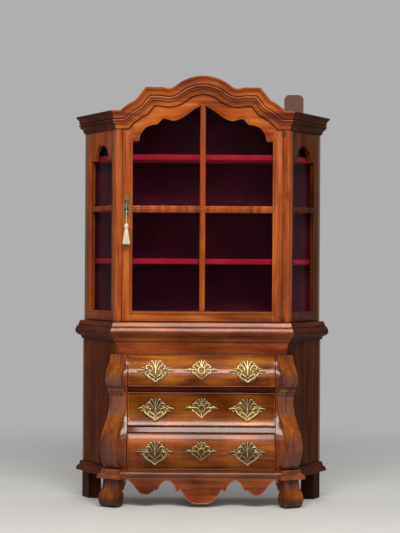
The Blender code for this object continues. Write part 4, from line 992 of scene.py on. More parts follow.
def make_camera():
    camera = bpy.data.cameras.new("camera")
    camera.sensor_fit = "VERTICAL"
    camera.sensor_height = SENSOR
    camera.lens = SENSOR * FOCAL_PIXELS / IMAGE_HEIGHT
    camera.shift_x = (IMAGE_WIDTH / 2 - CENTRE_COLUMN) / IMAGE_HEIGHT
    camera.shift_y = (HORIZON_ROW - IMAGE_HEIGHT / 2) / IMAGE_HEIGHT
    holder = link("camera", camera)
    holder.location = (0.0, SHIFT - CAMERA_DISTANCE, CAMERA_HEIGHT)
    holder.rotation_euler = (math.radians(90.0), ROLL, 0.0)
    bpy.context.scene.camera = holder


def make_lamp(name, place, target, size, power, color=(1.0, 1.0, 1.0)):
    """A soft box, given by its place, the point it looks at, its size and its power in watts."""
    lamp = bpy.data.lights.new(name, "AREA")
    lamp.shape = "RECTANGLE"
    lamp.size, lamp.size_y = size
    lamp.energy = power
    lamp.color = color
    holder = link(name, lamp)
    holder.location = place
    holder.rotation_euler = (Vector(target) - Vector(place)).to_track_quat("-Z", "Y").to_euler()
    holder.visible_camera = False
    return holder


FLOOR_RADIUS = 3.6
FLOOR_GAP = 0.0002
ROOM_GLOW = {"Color": (0.98, 0.99, 1.0, 1.0), "Strength": 0.34}
SEEN_GLOW = {"Color": (0.43, 0.43, 0.435, 1.0), "Strength": 1.0}


def make_stage():
    """A pale round floor, a surround that lights more gently than it looks, and four soft boxes."""
    shape = bmesh.new()
    bmesh.ops.create_circle(shape, cap_ends=True, segments=96, radius=FLOOR_RADIUS)
    bmesh.ops.translate(shape, verts=shape.verts, vec=(0, 0, -FLOOR_GAP))
    floor = link("floor", as_mesh(shape))
    floor.data.materials.append(FLOOR)
    world = bpy.data.worlds.new("surround")
    around = Nodes(world)
    lit = around.tree.nodes["Background"]
    around.feed(lit, ROOM_GLOW)
    seen = around.node("ShaderNodeBackground", **SEEN_GLOW)
    rays = around.node("ShaderNodeLightPath").outputs
    share = rays["Is Camera Ray"]
    for name in ("Is Glossy Ray", "Is Transmission Ray"):
        share = around.reckon("MAXIMUM", share, rays[name])
    mix = around.node("ShaderNodeMixShader", share, lit.outputs[0], seen.outputs[0])
    around.feed(around.tree.nodes["World Output"], {"Surface": mix.outputs[0]})
    bpy.context.scene.world = world
    make_lamp("strip_box", (0.10, -2.60, 3.29), (0.0, 0.0, 0.45), (2.8, 0.62), 90.0, (1.0, 0.955, 0.86))
    make_lamp("key_box", (0.20, -3.10, 3.10), (0.0, 0.0, 0.75), (3.0, 1.8), 44.0)
    make_lamp("front_box", (0.90, -4.60, 1.90), (0.0, 0.0, 0.85), (2.4, 1.6), 22.0).visible_glossy = False
    make_lamp("top_box", (0.0, 0.6, 3.8), (0.0, 0.1, 0.0), (2.6, 1.8), 8.0)
    bpy.context.scene.view_settings.view_transform = "Standard"


# Wood

def soften(mesh, width, segments, angle=40.0):
    """Rounds the arrises sharper than the angle."""
    thing = link("soften", mesh)
    bevel = thing.modifiers.new("bevel", "BEVEL")
    bevel.width = width
    bevel.segments = segments
    bevel.limit_method = "ANGLE"
    bevel.angle_limit = math.radians(angle)
    return mesh_of(thing)


def block(low, high):
    """A box between two corners."""
    shape = bmesh.new()
    bmesh.ops.create_cube(shape, size=1.0)
    size = [b - a for a, b in zip(low, high)]
    middle = [(b + a) / 2 for a, b in zip(low, high)]
    bmesh.ops.transform(shape, verts=shape.verts, matrix=Matrix.Diagonal((*size, 1.0)))
    bmesh.ops.translate(shape, verts=shape.verts, vec=middle)
    return as_mesh(shape)


def pierced(mesh, loop, basis):
    """The mesh with an opening right through it."""
    return combine(mesh, cutout([loop], -1.0, 1.0, basis))


def plan_board(step, low_z, high_z, front_y_at=None, back_y=CASE_DEPTH):
    """A board whose outline is the case's plan moved out by step."""
    corner = plan_corner(step)
    start = corner.y if front_y_at is None else front_y_at
    start_x = corner.x if front_y_at is None else rear_x(step, start)
    end_x = rear_x(step, back_y)
    loop = [(-start_x, start), (start_x, start), (end_x, back_y), (-end_x, back_y)]
    return cutout([loop], low_z, high_z, PLAN)


def flat(z):
    return 0.0


def strip_along(loop, profile, closed=True, face=flat):
    """A moulding on a face of the front: out runs into the wood, up towards the viewer."""
    return sweep(profile, [
        ((point.x, face(point.y), point.y), (way.x, 0, way.y), (0, -1, 0))
        for point, way in zip(loop, normals(loop, closed))
    ], closed)


def turned_left(loop):
    """The loop in the direction that has its outside on the left."""
    area = sum(a.x * b.y - b.x * a.y for a, b in zip(loop, loop[1:] + loop[:1]))
    return loop[::-1] if area > 0 else loop


# Sections as (out, up) or, for an arc, (out, up, bulge), in millimetres
CORNICE_PROFILE = moulded(
    7,
    (0.3, 0), (6, 0), (6, 4.2), (7.2, 5.2), (17.8, 20.5, 3.2), (20, 21.2), (20, 24.4), (17.4, 24.7),
    (17.4, 26.8), (20.4, 27.4), (20.4, 37.2, -3.4), (19.2, 37.6), (19.2, 39.8), (23.2, 40.2),
    (23.8, 43.2), (22.6, 44), (30.2, 59.8, 3), (30.2, 61.2), (32.2, 62.2), (33.3, 63.2), (33.3, 69),
    (32.2, 70), (0.3, 70),
)
WAIST_PROFILE = moulded(
    7,
    (0.3, 0), (6, 0), (6, 5), (7, 5.8), (19.5, 15.8, 3), (20, 17.6), (21.2, 18.2), (28.4, 37.2, -3),
    (21, 53.8, -0.4), (16.2, 54.3), (16.2, 56.2), (18.4, 56.8), (11.2, 73.2, -0.3), (9, 74.8, -0.4),
    (6, 75.5), (0.3, 75.5),
)
PLINTH_PROFILE = moulded(
    6,
    (0, 0), (22.2, 0), (23, 0.8), (23, 8), (21.8, 9.5), (21.5, 12.5), (15, 19, -0.8), (9.5, 31, 1.6),
    (9, 34.5), (7.5, 38), (0, 38),
)
STRIP_PROFILE = moulded(10, (0, 0), (10, 0), (6, 18, -7.2), (0, 18))
STICKING = moulded(
    5,
    (0, -10), (0, -3), (1.2, -2.2), (6.2, 1.2, 1.4), (6.6, 2), (9.2, 2, 1), (10, -1), (10, -10),
)
# The head of the door's opening, right half, in millimetres
LIGHT_RUNS = thousandths((
    ((256.4, 1458), (249.2, 1485), (235.2, 1506.5), (218.8, 1518.5), (199, 1524.5), (183.6, 1526.4)),
    ((162.4, 1548.8), (148.4, 1548.5), (132, 1543.5), (117.6, 1541.6), (101.2, 1544.8),
     (82.4, 1554), (59.2, 1570), (35.6, 1586.8), (14, 1599), (0, 1602)),
))
SIDE_STICKING = moulded(5, (0, -6), (0, -1.6), (4.6, 0.9, 1), (6.2, 0.9, 0.6), (6.6, -0.6), (6.6, -6))
EDGE_BEAD = moulded(8, (0.4, -10), (0.4, 0.2), (5, 0.2, 1.6), (5.4, -1.2), (6.6, -1.2), (6.8, -10))


def on_return(at):
    return abs(at.x) > RETURN_FROM_X


def add_moulding(name, mesh, material, node):
    """A moulding of the case, with painted shade where it runs along the canted sides."""
    add_piece(name, mesh, "cabinet", material, [node], sharp=24, second=SHADED_RETURN_WOOD, where=on_return)


def make_cornice():
    rows = []
    rear = rear_x(0.0)
    for out, up in CORNICE_PROFILE:
        z = SHOULDER_Z + up
        corner = Vector((FRONT_HALF + out * MITRE_X, -out, z))
        end = Vector((rear + out / SIDE_OUT.x, CASE_DEPTH, z))
        left = [Vector((-end.x, end.y, z)), Vector((-corner.x, -out, z))]
        line = [Vector((point.x, -out, point.y)) for point in header_at(up)[1:-1]]
        rows.append(left + line + [corner, end])
    add_moulding("cornice", loft(list(zip(*rows))), CORNICE_WOOD, "pediment_cornice")


def make_waist():
    """A level moulding round the front and the two canted sides."""
    corner, rear = plan_corner(LOWER_STEP), rear_x(LOWER_STEP)
    ends = [(-1, rear, CASE_DEPTH, 1.0 / SIDE_OUT.x, 0), (-1, corner.x, corner.y, MITRE_X, -1)]
    ends += [(1, *end[1:]) for end in ends[::-1]]
    add_moulding("waist", sweep(WAIST_PROFILE, [
        ((side * x, y, WAIST_LOW_Z), (side * out, forward, 0), (0, 0, 1)) for side, x, y, out, forward in ends
    ]), CORNICE_WOOD, "waist_moulding")


def cross(start, way, other, other_way):
    start, way, other, other_way = vectors((start, way, other, other_way))
    return meet(start, start + way, other, other + other_way, whole=True)


def make_plinth():
    """The base moulding with its corner blocks, and the strip between them."""
    outer = LOWER_STEP + GAP
    core = BLOCK_CORE_HALF + GAP
    face = BLOCK_CORE_SWELL + GAP
    joint = cross((0, BASE_FRONT_Y - GAP), (1, 0), truss_point(0, -core), TRUSS_OUT)
    notch = cross(plan_corner(outer), SIDE_ALONG, truss_point(0, core), TRUSS_OUT)
    path = [
        Vector((rear_x(outer), CASE_DEPTH)), notch, truss_point(face, core),
        truss_point(face, -core), joint,
    ]
    outs = normals(path)
    outs[0] = Vector((1.0 / SIDE_OUT.x, 0))
    parts = [
        sweep(PLINTH_PROFILE, [
            ((side * point.x, point.y, PLINTH_Z), (side * out.x, out.y, 0), (0, 0, 1))
            for point, out in zip(path, outs)
        ])
        for side, _ in SIDE_NAMES
    ]
    reach = joint.x - 0.002
    ends = [(x, joint.y, STRIP_Z) for x in (-reach, reach)]
    parts.append(bar(STRIP_PROFILE, ends, (0, -1, 0), (0, 0, 1)))
    add_moulding("plinth", merge(*parts), BASE_WOOD, "plinth_moulding")


def make_face_frame():
    """Posts and arched header, with a bead down each outer corner."""
    wide = FRONT_HALF + FACE_THICKNESS
    low = UPPER_FLOOR_Z + GAP
    inner = clip_line(header_line(0.0), -POST_INNER_X, POST_INNER_X)
    over = clip_line(header_line(CORNICE_HEIGHT - 0.002), -wide, wide)
    loop = [(-wide, low), (-POST_INNER_X, low)] + inner + [(POST_INNER_X, low), (wide, low)] + over[::-1]
    slab = cutout([loop], 0.0, FACE_THICKNESS, FRONTAL)
    slab = combine(slab, plan_board(0.0, 0.0, 2.0), "INTERSECT")
    parts = [soften(slab, 0.0016, 3, 30)]
    bead = outline((-0.0052, 0.0004), (-0.0028, 0.0004), (0.0052, 0.0004, 0.0022),
                   (0.0052, -0.0004), (-0.0052, -0.0004), steps=10)
    x = (FRONT_HALF + POST_INNER_X) / 2 - 0.001
    for side, _ in SIDE_NAMES:
        ends = [(side * x, 0.0, z) for z in (low + 0.001, SHOULDER_Z + 0.002)]
        parts.append(bar(bead, ends, (side, 0, 0)))
    add_piece("face_frame", merge(*parts), "cabinet", FRONT_WOOD, ["upper_front_frame"], sharp=38)


def side_lights():
    """The outlines of the two openings in a canted side, the upper one arched."""
    start = (FACE_THICKNESS + GAP) / SIDE_ALONG.y + SIDE_FRONT_STILE
    end = BACK_SEAT_Y / SIDE_ALONG.y - SIDE_REAR_STILE
    bar_low, bar_high = SIDE_BAR_Z - SIDE_BAR_HEIGHT / 2, SIDE_BAR_Z + SIDE_BAR_HEIGHT / 2
    radius = (end - start) / 2 - SIDE_ARCH_SHOULDER
    arch = oval((start + end) / 2, SIDE_SHOULDER_Z, radius, radius, 48)[:25]
    lower = ((start, SIDE_OPENING_LOW_Z), (end, SIDE_OPENING_LOW_Z), (end, bar_low), (start, bar_low))
    upper = ((start, bar_high), (end, bar_high), (end, SIDE_SHOULDER_Z), *arch, (start, SIDE_SHOULDER_Z))
    return vectors(lower), vectors(upper)


def make_side_frames():
    """Canted frames with a moulded edge round each light."""
    low = UPPER_FLOOR_Z + GAP
    high = SIDE_TOP_Z - GAP
    length = Vector((REAR_HALF - FRONT_HALF, CASE_DEPTH)).length
    within = (-1, FACE_THICKNESS + GAP, 0), (1, BACK_SEAT_Y, 2)
    for side, word in SIDE_NAMES:
        basis = canted_basis(side)
        slab = cutout([[(0.0, low), (length, low), (length, high), (0.0, high)]], -SIDE_THICKNESS, 0.0, basis)
        for light in side_lights():
            slab = pierced(slab, light, basis)
        parts = [soften(combine(slab, block(*within), "INTERSECT"), 0.0010, 2, 35)]
        matrix = basis_matrix(basis)
        turn = matrix.to_3x3()
        for light in side_lights():
            loop = turned_left(light)
            parts.append(sweep(SIDE_STICKING, [
                (matrix @ point.to_3d(), turn @ way.to_3d(), turn @ Vector((0, 0, 1)))
                for point, way in zip(loop, normals(loop, True))
            ], True))
        add_piece(word + "_side_lights", merge(*parts), "cabinet", SHADE_WOOD, [word + "_side_frame"])


def make_door_frame():
    """Stiles, rails and moulded glazing bars; the faces are cut where stile and rail meet."""
    top = clip_line(header_line(-ARCH_GAP), -DOOR_HALF, DOOR_HALF)
    loop = vectors(((-DOOR_HALF, DOOR_LOW_Z), (DOOR_HALF, DOOR_LOW_Z))) + top[::-1]
    outer = DOOR_HALF - DOOR_STILE
    low = DOOR_LOW_Z + DOOR_BOTTOM_RAIL
    right = [Vector((outer, LIGHT_RUNS[0][0][1]))]
    for run in LIGHT_RUNS:
        right += smooth_line(run, 5)
    light_top = flipped(right) + right[-2::-1]
    light = vectors(((-outer, low), (outer, low))) + light_top[::-1]
    slab = pierced(cutout([loop], 0.0, DOOR_THICKNESS, FRONTAL), light, FRONTAL)
    keyway = oval(0.0, 0.0, KEYWAY_RADIUS, KEYWAY_RADIUS, 16)
    slab = pierced(slab, keyway, ((LOCK_X, 0, LOCK_Z), *FRONTAL[1:]))
    parts = [
        as_mesh(sliced(soften(slab, 0.0012, 2, 35), (1, 0, 0), (-outer, outer))),
        strip_along(turned_left(light), STICKING),
        strip_along(turned_left(loop)[::-1], EDGE_BEAD),
    ]
    for width, across, ends in (
        (BAR_WIDTH, (1, 0, 0), ((0.0, 0.0, low - 0.002), (0.0, 0.0, max(p.y for p in light_top) + 0.004))),
        (CROSS_BAR_HEIGHT, (0, 0, 1), [(side * (outer + 0.002), 0.0, CROSS_BAR_Z) for side, _ in SIDE_NAMES]),
    ):
        w = width / 2
        parts.append(bar(outline(
            (-w, -DOOR_THICKNESS), (-w, -0.0062), (-w + 0.0010, -0.0055), (-w + 0.0056, -0.0012, 0.0012),
            (-w + 0.0060, 0.0), (-0.0034, 0.0), (0.0034, 0.0, 0.0026), (w - 0.0060, 0.0),
            (w - 0.0056, -0.0012), (w - 0.0010, -0.0055, 0.0012), (w, -0.0062), (w, -DOOR_THICKNESS),
            steps=6,
        ), ends, across))

    def crosswise(at):
        return abs(at.x) < outer and not (abs(at.x) < BAR_WIDTH / 2 and low < at.z < BAR_TOP_Z)

    add_piece("door_woodwork", merge(*parts), "door", FRONT_WOOD, ["door_frame"],
              second=RAIL_WOOD, where=crosswise)


def truss_pocket(side):
    back, top = TRUSS_BACK - GAP, TRUSS_TOP_Z + GAP
    tongue = (plan_corner(LOWER_STEP) - TRUSS_BASE).dot(TRUSS_OUT)
    reach = LOWER_PEAK_SWELL * 2
    loop = [
        (back, CASE_FOOT_Z - GAP), (back, top), (TRUSS_TOP_SWELL, top), (tongue, TONGUE_TOP_Z),
        (reach, TONGUE_TOP_Z), (reach, CASE_FOOT_Z - GAP),
    ]
    half = TRUSS_HALF + GAP
    return cutout([loop], -half, half, truss_basis(side))


def make_lower_frame():
    """Swelled stiles, the frieze and the rails between the drawers."""
    section = swelled_section(FRAME_LOW_Z + GAP, UPPER_FLOOR_Z - GAP, STILE_BACK_Y)
    reach = FRONT_HALF + SIDE_BOARD
    frame = cutout([section], -reach, reach, SECTION)
    frame = combine(frame, block((-STILE_INNER_X, -1, 0), (STILE_INNER_X, 1, FRIEZE_LOW_Z)))
    mitre = (plan_corner(LOWER_STEP) - TRUSS_BASE).dot(TRUSS_ALONG)
    for side, _ in SIDE_NAMES:
        beyond = [(-1, 0), (1, 0), (1, 1), (-1, 1)]
        frame = combine(frame, cutout([beyond], mitre - GAP, 1, truss_basis(side)))
        frame = combine(frame, truss_pocket(side))
    add_piece("lower_front", soften(frame, 0.0010, 2), "cabinet", FRIEZE_WOOD, ["front_frame"],
              second=STILE_WOOD, where=lambda at: at.z < FRIEZE_LOW_Z)
    half = STILE_INNER_X - GAP
    for word, above, below in zip(("upper", "lower"), DRAWER_LEVELS, DRAWER_LEVELS[1:]):
        low, high = below[1] + DRAWER_GAP + FRONT_EASE, above[0] - DRAWER_GAP - FRONT_EASE
        rail = cutout([swelled_section(low, high, BACK_SEAT_Y, -0.0020)], -half, half, SECTION)
        add_piece(word + "_drawer_rail", soften(rail, 0.0012, 3), "cabinet", SHADED_DIVIDER_WOOD,
                  [word + "_drawer_divider"])


def make_trusses():
    """Diagonal scrolls: an upper roll, a collar, and the long swell below it."""
    front = [(TRUSS_BACK, TRUSS_TOP_Z)]
    front += [(swell(z), z) for z in reversed(levels(UPPER_PEAK_Z, TRUSS_TOP_Z))]
    roll_swell, roll_z = UPPER_ROLL_END
    for i in range(1, 9):
        fall = (UPPER_PEAK_SWELL - roll_swell) * math.cos(math.pi / 2 * i / 8)
        front.append((roll_swell + fall, UPPER_PEAK_Z + (roll_z - UPPER_PEAK_Z) * i / 8))
    front += COLLAR
    front += [(lower_swell(z), z) for z in reversed(levels(TRUSS_FOOT_Z, COLLAR[-1][1]))]
    section = front + [(TRUSS_BACK, TRUSS_FOOT_Z)]
    for side, word in SIDE_NAMES:
        mesh = cutout([section], -TRUSS_HALF, TRUSS_HALF, truss_basis(side))
        add_piece(word + "_scroll_truss", soften(mesh, 0.0026, 3), "cabinet", TRUSS_WOOD,
                  [word + "_truss"])


def make_drawer_fronts():
    """Swelled fronts, each with a rounded cock-bead let in round its edge."""
    bead = outline((0.0006, -0.008), (0.0006, 0.0008), (COCK_BEAD, 0.0010, 0.0016),
                   (COCK_BEAD, -0.008), steps=8)
    half, wide = DRAWER_HALF - FRONT_INSET, DRAWER_HALF - FRONT_EASE
    for word, (low, high) in zip(DRAWER_WORDS, DRAWER_LEVELS):
        front = swelled_section(low + FRONT_INSET, high - FRONT_INSET, DRAWER_BACK_Y)
        back = swelled_section(low + FRONT_EASE, high - FRONT_EASE, DRAWER_BACK_Y, -0.006)
        heights = levels(low, high)
        loop = [(DRAWER_HALF, z) for z in heights] + [(-DRAWER_HALF, z) for z in heights[::-1]]
        beads = merge(strip_along(vectors(loop), bead, face=front_y), cutout([back], -wide, wide, SECTION))
        body = word + "_drawer"
        front = cutout([front], -half, half, SECTION)
        add_piece(body + "_veneer", front, body, DRAWER_WOOD, [body + "_front"])
        add_piece(body + "_beads", beads, body, BEAD_WOOD)


APRON_LINE = (
    (0.0, 0.014), (0.030, 0.016), (0.052, 0.029), (0.068, 0.050), (0.078, 0.066), (0.084, 0.072),
    (0.092, 0.064), (0.098, 0.064), (0.104, 0.080), (0.116, 0.098), (0.132, 0.106), (0.148, 0.104),
    (0.160, 0.092), (0.168, 0.076), (0.176, 0.068), (0.184, 0.070), (0.194, 0.060), (0.208, 0.052),
    (0.224, 0.049), (0.240, 0.055), (0.258, 0.074), (0.274, 0.094), (0.290, 0.107), (APRON_HALF, 0.101),
)
APRON_CORNERS = (5, 7, 15)


def apron_edge():
    """The scalloped line: smooth lobes between crisp cusps."""
    line = vectors(APRON_LINE)
    marks = (0,) + APRON_CORNERS + (len(line) - 1,)
    first = line[:marks[1] + 1]
    right = smooth_line(flipped(first[1:2]) + first, 5)[5:]
    for start, end in zip(marks[1:], marks[2:]):
        right += smooth_line(line[start:end + 1], 5)[1:]
    return flipped(right[:0:-1]) + right


def make_apron():
    """A board with a scalloped lower edge, and the bead along that edge."""
    line = apron_edge()
    top = STRIP_Z - GAP
    loop = offset_line(line, 0.0012) + vectors(((APRON_HALF, top), (-APRON_HALF, top)))
    board = cutout([loop], APRON_FRONT_Y, APRON_FRONT_Y + APRON_THICKNESS, FRONTAL)
    back = -APRON_THICKNESS + 0.002
    lip = outline((0.0, back), (0.0, 0.0006), (0.0044, 0.0006, 0.0016), (0.0052, -0.0010),
                  (0.0054, -0.004), (0.0054, back), steps=7)
    add_piece("scalloped_apron", board, "cabinet", BASE_WOOD, ["apron"])
    add_piece("apron_bead", strip_along(line, lip, False, lambda z: APRON_FRONT_Y), "cabinet", BEAD_WOOD)


def curl(centre, start, turn, radii):
    """Points that turn about a centre by so many degrees, each at its own distance."""
    made = []
    for i, radius in enumerate(radii):
        angle = math.radians(start + turn * i / (len(radii) - 1))
        made.append(Vector((centre.x + radius * math.cos(angle), centre.y + radius * math.sin(angle))))
    return made


def make_feet():
    """Scroll feet: a neck that runs into an outward roll."""
    top = PLINTH_Z - GAP
    radius = FOOT_ROLL_RADIUS
    centre = Vector((FOOT_ROLL_SWELL, radius - 0.001))
    roll = [Vector((point.x, max(point.y, 0.0))) for point in curl(centre, 52, -285, [radius] * 49)]
    front = [(FOOT_TOP_SWELL, top - 0.006), (0.0605, 0.098), (0.0635, 0.084), (0.0700, 0.073), roll[0]]
    rear = [roll[-1], (0.0190, 0.066), (0.0080, 0.083), (0.0, 0.098)]
    loop = vectors(((0.0, top), (FOOT_TOP_SWELL, top))) + smooth_line(front, 4) + roll[1:]
    loop += smooth_line(rear, 4)[1:]
    shares = [i / 39 for i in range(40)]
    coil = curl(centre, 60, -520, [radius * (0.84 - 0.66 * share) for share in shares])
    widths = [0.0022 + 0.0012 * share for share in shares]
    half = TRUSS_HALF - 0.001
    for side, word in SIDE_NAMES:
        basis = truss_basis(side)
        matrix = basis_matrix(basis)
        parts = [soften(cutout([loop], -half, half, basis), 0.0030, 3, 45)]
        for face in (-1, 1):
            depth = face * (TRUSS_HALF - 0.0016)
            parts.append(tube([matrix @ Vector((*point, depth)) for point in coil], widths, 8))
        add_piece(word + "_scroll_foot", merge(*parts), "cabinet", FOOT_WOOD, [word + "_front_foot"])


def make_linings():
    """Velvet on the back between the shelves, and round each shelf."""
    back = CLOTH_BACK_Y
    face = back - CLOTH_THICKNESS
    lows = [FLOOR_TOP_Z + GAP] + [top + GAP for top in SHELF_TOPS]
    highs = [top - SHELF_THICKNESS - GAP for top in SHELF_TOPS] + [SHOULDER_Z]
    panels = [plan_board(CLOTH_INSET, low, high, face, back) for low, high in zip(lows, highs)]
    reach = rear_x(CLOTH_INSET, back) - 0.003
    arch = clip_line(header_line(CLOTH_RISE), -reach, reach)
    panels.append(cutout([[(-reach, SHOULDER_Z), (reach, SHOULDER_Z)] + arch[::-1]], face, back, FRONTAL))
    add_piece("back_velvet", merge(*panels), "cabinet", SHADED_LINING, sharp=38)
    for word, top in zip(("lower", "middle", "upper"), SHELF_TOPS):
        board = plan_board(SHELF_INSET, top - SHELF_THICKNESS, top, SHELF_FRONT_Y, BACK_SEAT_Y)
        add_piece(word + "_shelf_velvet", soften(board, 0.0040, 4), "cabinet", VELVET,
                  [word + "_shelf"], sharp=50)


# Brass, thread and steel

# Right halves of the plates, in millimetres: the outline, the holes as a centre and two half sizes,
# and the scrolls as a radius and the points they run through

PULL_OUTLINE = thousandths((
    (0, 44), (7, 40), (13, 43), (20, 38), (19, 30), (27, 26), (36, 24), (41, 16), (50, 11), (58, 8),
    (66, 4), (77, 0), (66, -5), (56, -4), (48, -10), (42, -9), (39, -18), (31, -21), (28, -30), (19, -32),
    (14, -40), (7, -41), (0, -46),
))
PULL_HOLES = thousandths((
    (13, 27.5, 3.8, 4.5), (28.5, 15, 4.8, 3.6), (48, 3.5, 4, 2.6), (11, -25, 4.2, 5.2), (26, -13, 4, 3),
    (6, 15, 2.2, 4.5),
))
PULL_STROKES = thousandths((
    (2.6, (18, -2), (30, 3), (44, 1), (58, 5), (74, 0.5)),
    (3, (10, 4), (17, 18), (29, 23), (38, 17), (35, 10), (28, 11), (29, 16)),
    (2.6, (3, 10), (7, 24), (13, 36), (19, 38), (20, 33)), (2.4, (20, 28), (27, 30), (31, 26)),
    (2.8, (36, -2), (41, -10), (36, -19), (28, -18), (28, -12), (33, -11)),
    (2.6, (34, -19), (28, -29), (18, -34), (9, -41), (0, -44)),
    (2.5, (26, -6), (15, -16), (5, -24), (0, -31)), (1.9, (40, 6), (47, 12), (57, 10)),
    (1.9, (43, -3), (52, -8), (62, -5)), (2, (12, -30), (4, -34), (0, -38)),
))
PULL_MIDDLE = thousandths((
    (3.4, (0, 0), (0, 16), (0, 30), (0, 42)), (4, (0, 6), (0, -6), (0, -18)),
))
KEY_OUTLINE = thousandths((
    (0, 41), (6, 36), (12, 38), (17, 31), (24, 27), (29, 21), (37, 17), (43, 9), (52, 6), (60, 2),
    (68, -1), (58, -6), (48, -5), (40, -12), (31, -14), (26, -22), (16, -25), (10, -34), (0, -40),
))
KEY_HOLES = thousandths((
    (11, 24, 3.2, 4.5), (25, 13, 4.2, 3.4), (42, 1.5, 4.6, 2.4), (20, -8, 4, 3.6),
))
KEY_STROKES = thousandths((
    (2.5, (14, -2), (28, 3), (40, 1), (52, 3), (66, -1)),
    (2.7, (8, 10), (17, 18), (28, 20), (35, 14), (31, 9), (26, 12)),
    (2.4, (2, 12), (5, 24), (11, 35), (16, 32)), (2.2, (12, 22), (20, 28), (25, 24)),
    (2.4, (34, -3), (36, -10), (29, -13), (25, -8)), (2.4, (24, -15), (17, -22), (10, -28), (0, -38)),
    (2.2, (0, 12), (10, 8), (12.5, -1), (9, -11), (0, -15)), (1.7, (42, 4), (49, 7), (57, 4)),
))
KEY_MIDDLE = thousandths((
    (3, (0, 14), (0, 26), (0, 40)), (2.2, (0, -17), (0, -38)),
))
DOOR_OUTLINE = thousandths((
    (0, 51.5), (5, 47), (8, 40), (5.5, 33), (10, 29), (14.2, 22), (12, 14), (15, 6), (12.5, -2),
    (14.5, -10), (13, -19), (14.2, -27), (9.5, -34), (6.5, -41), (3, -46), (0, -51.5),
))
DOOR_HOLES = thousandths((
    (6.6, 21, 2.4, 4.6), (8.8, 3.5, 2, 4), (7.4, -14, 2.6, 4.2), (5.2, -29, 2.2, 4),
))
DOOR_STROKES = thousandths((
    (1.7, (0, 50), (5.5, 42), (3.5, 34), (9, 28), (12, 20), (9, 14)),
    (1.8, (9, 13), (13.5, 5), (10, -3), (13, -11), (10.5, -20), (5, -18)),
    (1.8, (12, -20), (12.5, -28), (7, -36), (0, -48)), (1.5, (3, 24), (4, 14), (6, 6), (5, -6), (2, -12)),
    (1.4, (2, -14), (7, -24), (1, -34)),
))
DOOR_MIDDLE = thousandths((
    (1.8, (0, 22), (0, 34), (0, 49)), (1.6, (0, -34), (0, -48)),
))


def oval(u, v, half_width, half_height, sides=12):
    return [(u + half_width * math.cos(a), v + half_height * math.sin(a)) for a in angles(sides)]


def keyhole(width, height):
    eye = width * 0.75
    loop = [(eye * math.cos(math.radians(a)), height / 2 - eye + eye * math.sin(math.radians(a)))
            for a in range(-50, 231, 20)]
    return loop + [(-width / 2, -height / 2), (width / 2, -height / 2)]


def stroke(points, radius, centre, face_y, height):
    """A tapered ridge on a plate, whose height is a share of its radius."""
    path = [Vector((centre[0] + point.x, face_y, centre[1] + point.y)) for point in smooth_line(points, 6)]
    last = len(path) - 1
    rings = []
    for i, point in enumerate(path):
        fullness = math.sin(math.pi * min(1.0, 0.12 + 0.88 * i / last)) ** 0.7
        reach = 0.82 * radius * (0.42 + 0.58 * fullness)
        way = (path[min(i + 1, last)] - path[max(i - 1, 0)]).normalized()
        side = Vector((-way.z, 0, way.x))
        out = Vector((0, -1, 0))
        rings.append([
            point + side * math.cos(a) * reach + out * math.sin(a) * reach * height for a in angles(10)
        ])
    return loft(rings)


def ornament(half, holes, strokes, middle, x, z, extra=()):
    """A pierced plate with scrolls in relief, flat against y = 0."""
    half = vectors(half)
    line = smooth_line(half + flipped(half[-2:0:-1]), 3, closed=True)
    loops = [line] + [oval(sign * u, v, a, b) for u, v, a, b in holes for sign in (-1, 1)]
    face = -PLATE_THICKNESS - GAP
    parts = [cutout(loops + list(extra), face, -GAP, ((x, 0, z), *FRONTAL[1:]), 0.0004)]
    runs = [
        (radius, [(sign * u, v) for u, v in points], 0.95)
        for radius, *points in strokes for sign in (-1, 1)
    ]
    runs += [(radius, points, 1.0) for radius, *points in middle]
    parts += [stroke(points, radius, (x, z), face + 0.0002, height) for radius, points, height in runs]
    return merge(*parts)


def add_plate(name, mesh, body, node, face=front_y):
    """A plate on a face; its ground lies deeper than its scrolls and is darker brass, partly painted shade
    between the scrolls.
    """
    add_piece(name, mesh, body, BRASS, [node], sharp=50, second=BRASS_GROUND,
              where=lambda at: face(at.z) - at.y < GROUND_DEPTH)


def bend(mesh):
    """Lays a flat plate on the swelled drawer front."""
    heights = [vert.co.z for vert in mesh.vertices]
    shape = sliced(mesh, (0, 0, 1), levels(min(heights), max(heights), 0.006)[1:-1], 1e-6)
    for vert in shape.verts:
        vert.co.y += front_y(vert.co.z)
    return as_mesh(shape)


def stud(centre, way, profile, steps=20):
    """A small turned stud whose profile (radius, rise) stands along a way."""
    mesh = turned(profile, (0, 0, 0), steps)
    turn = Vector(way).to_track_quat("Z", "Y").to_matrix().to_4x4()
    mesh.transform(Matrix.Translation(centre) @ turn)
    return mesh


ROSETTE = thousandths((
    (0, 0), (6.8, 0), (7.2, 0.8), (6.6, 1.6), (5.2, 2), (4.4, 3), (3.6, 5.2), (3.6, 6.2), (4.2, 7.8),
    (4.4, 9.2), (3.8, 10.8), (2.2, 11.9), (0, 12.2),
))

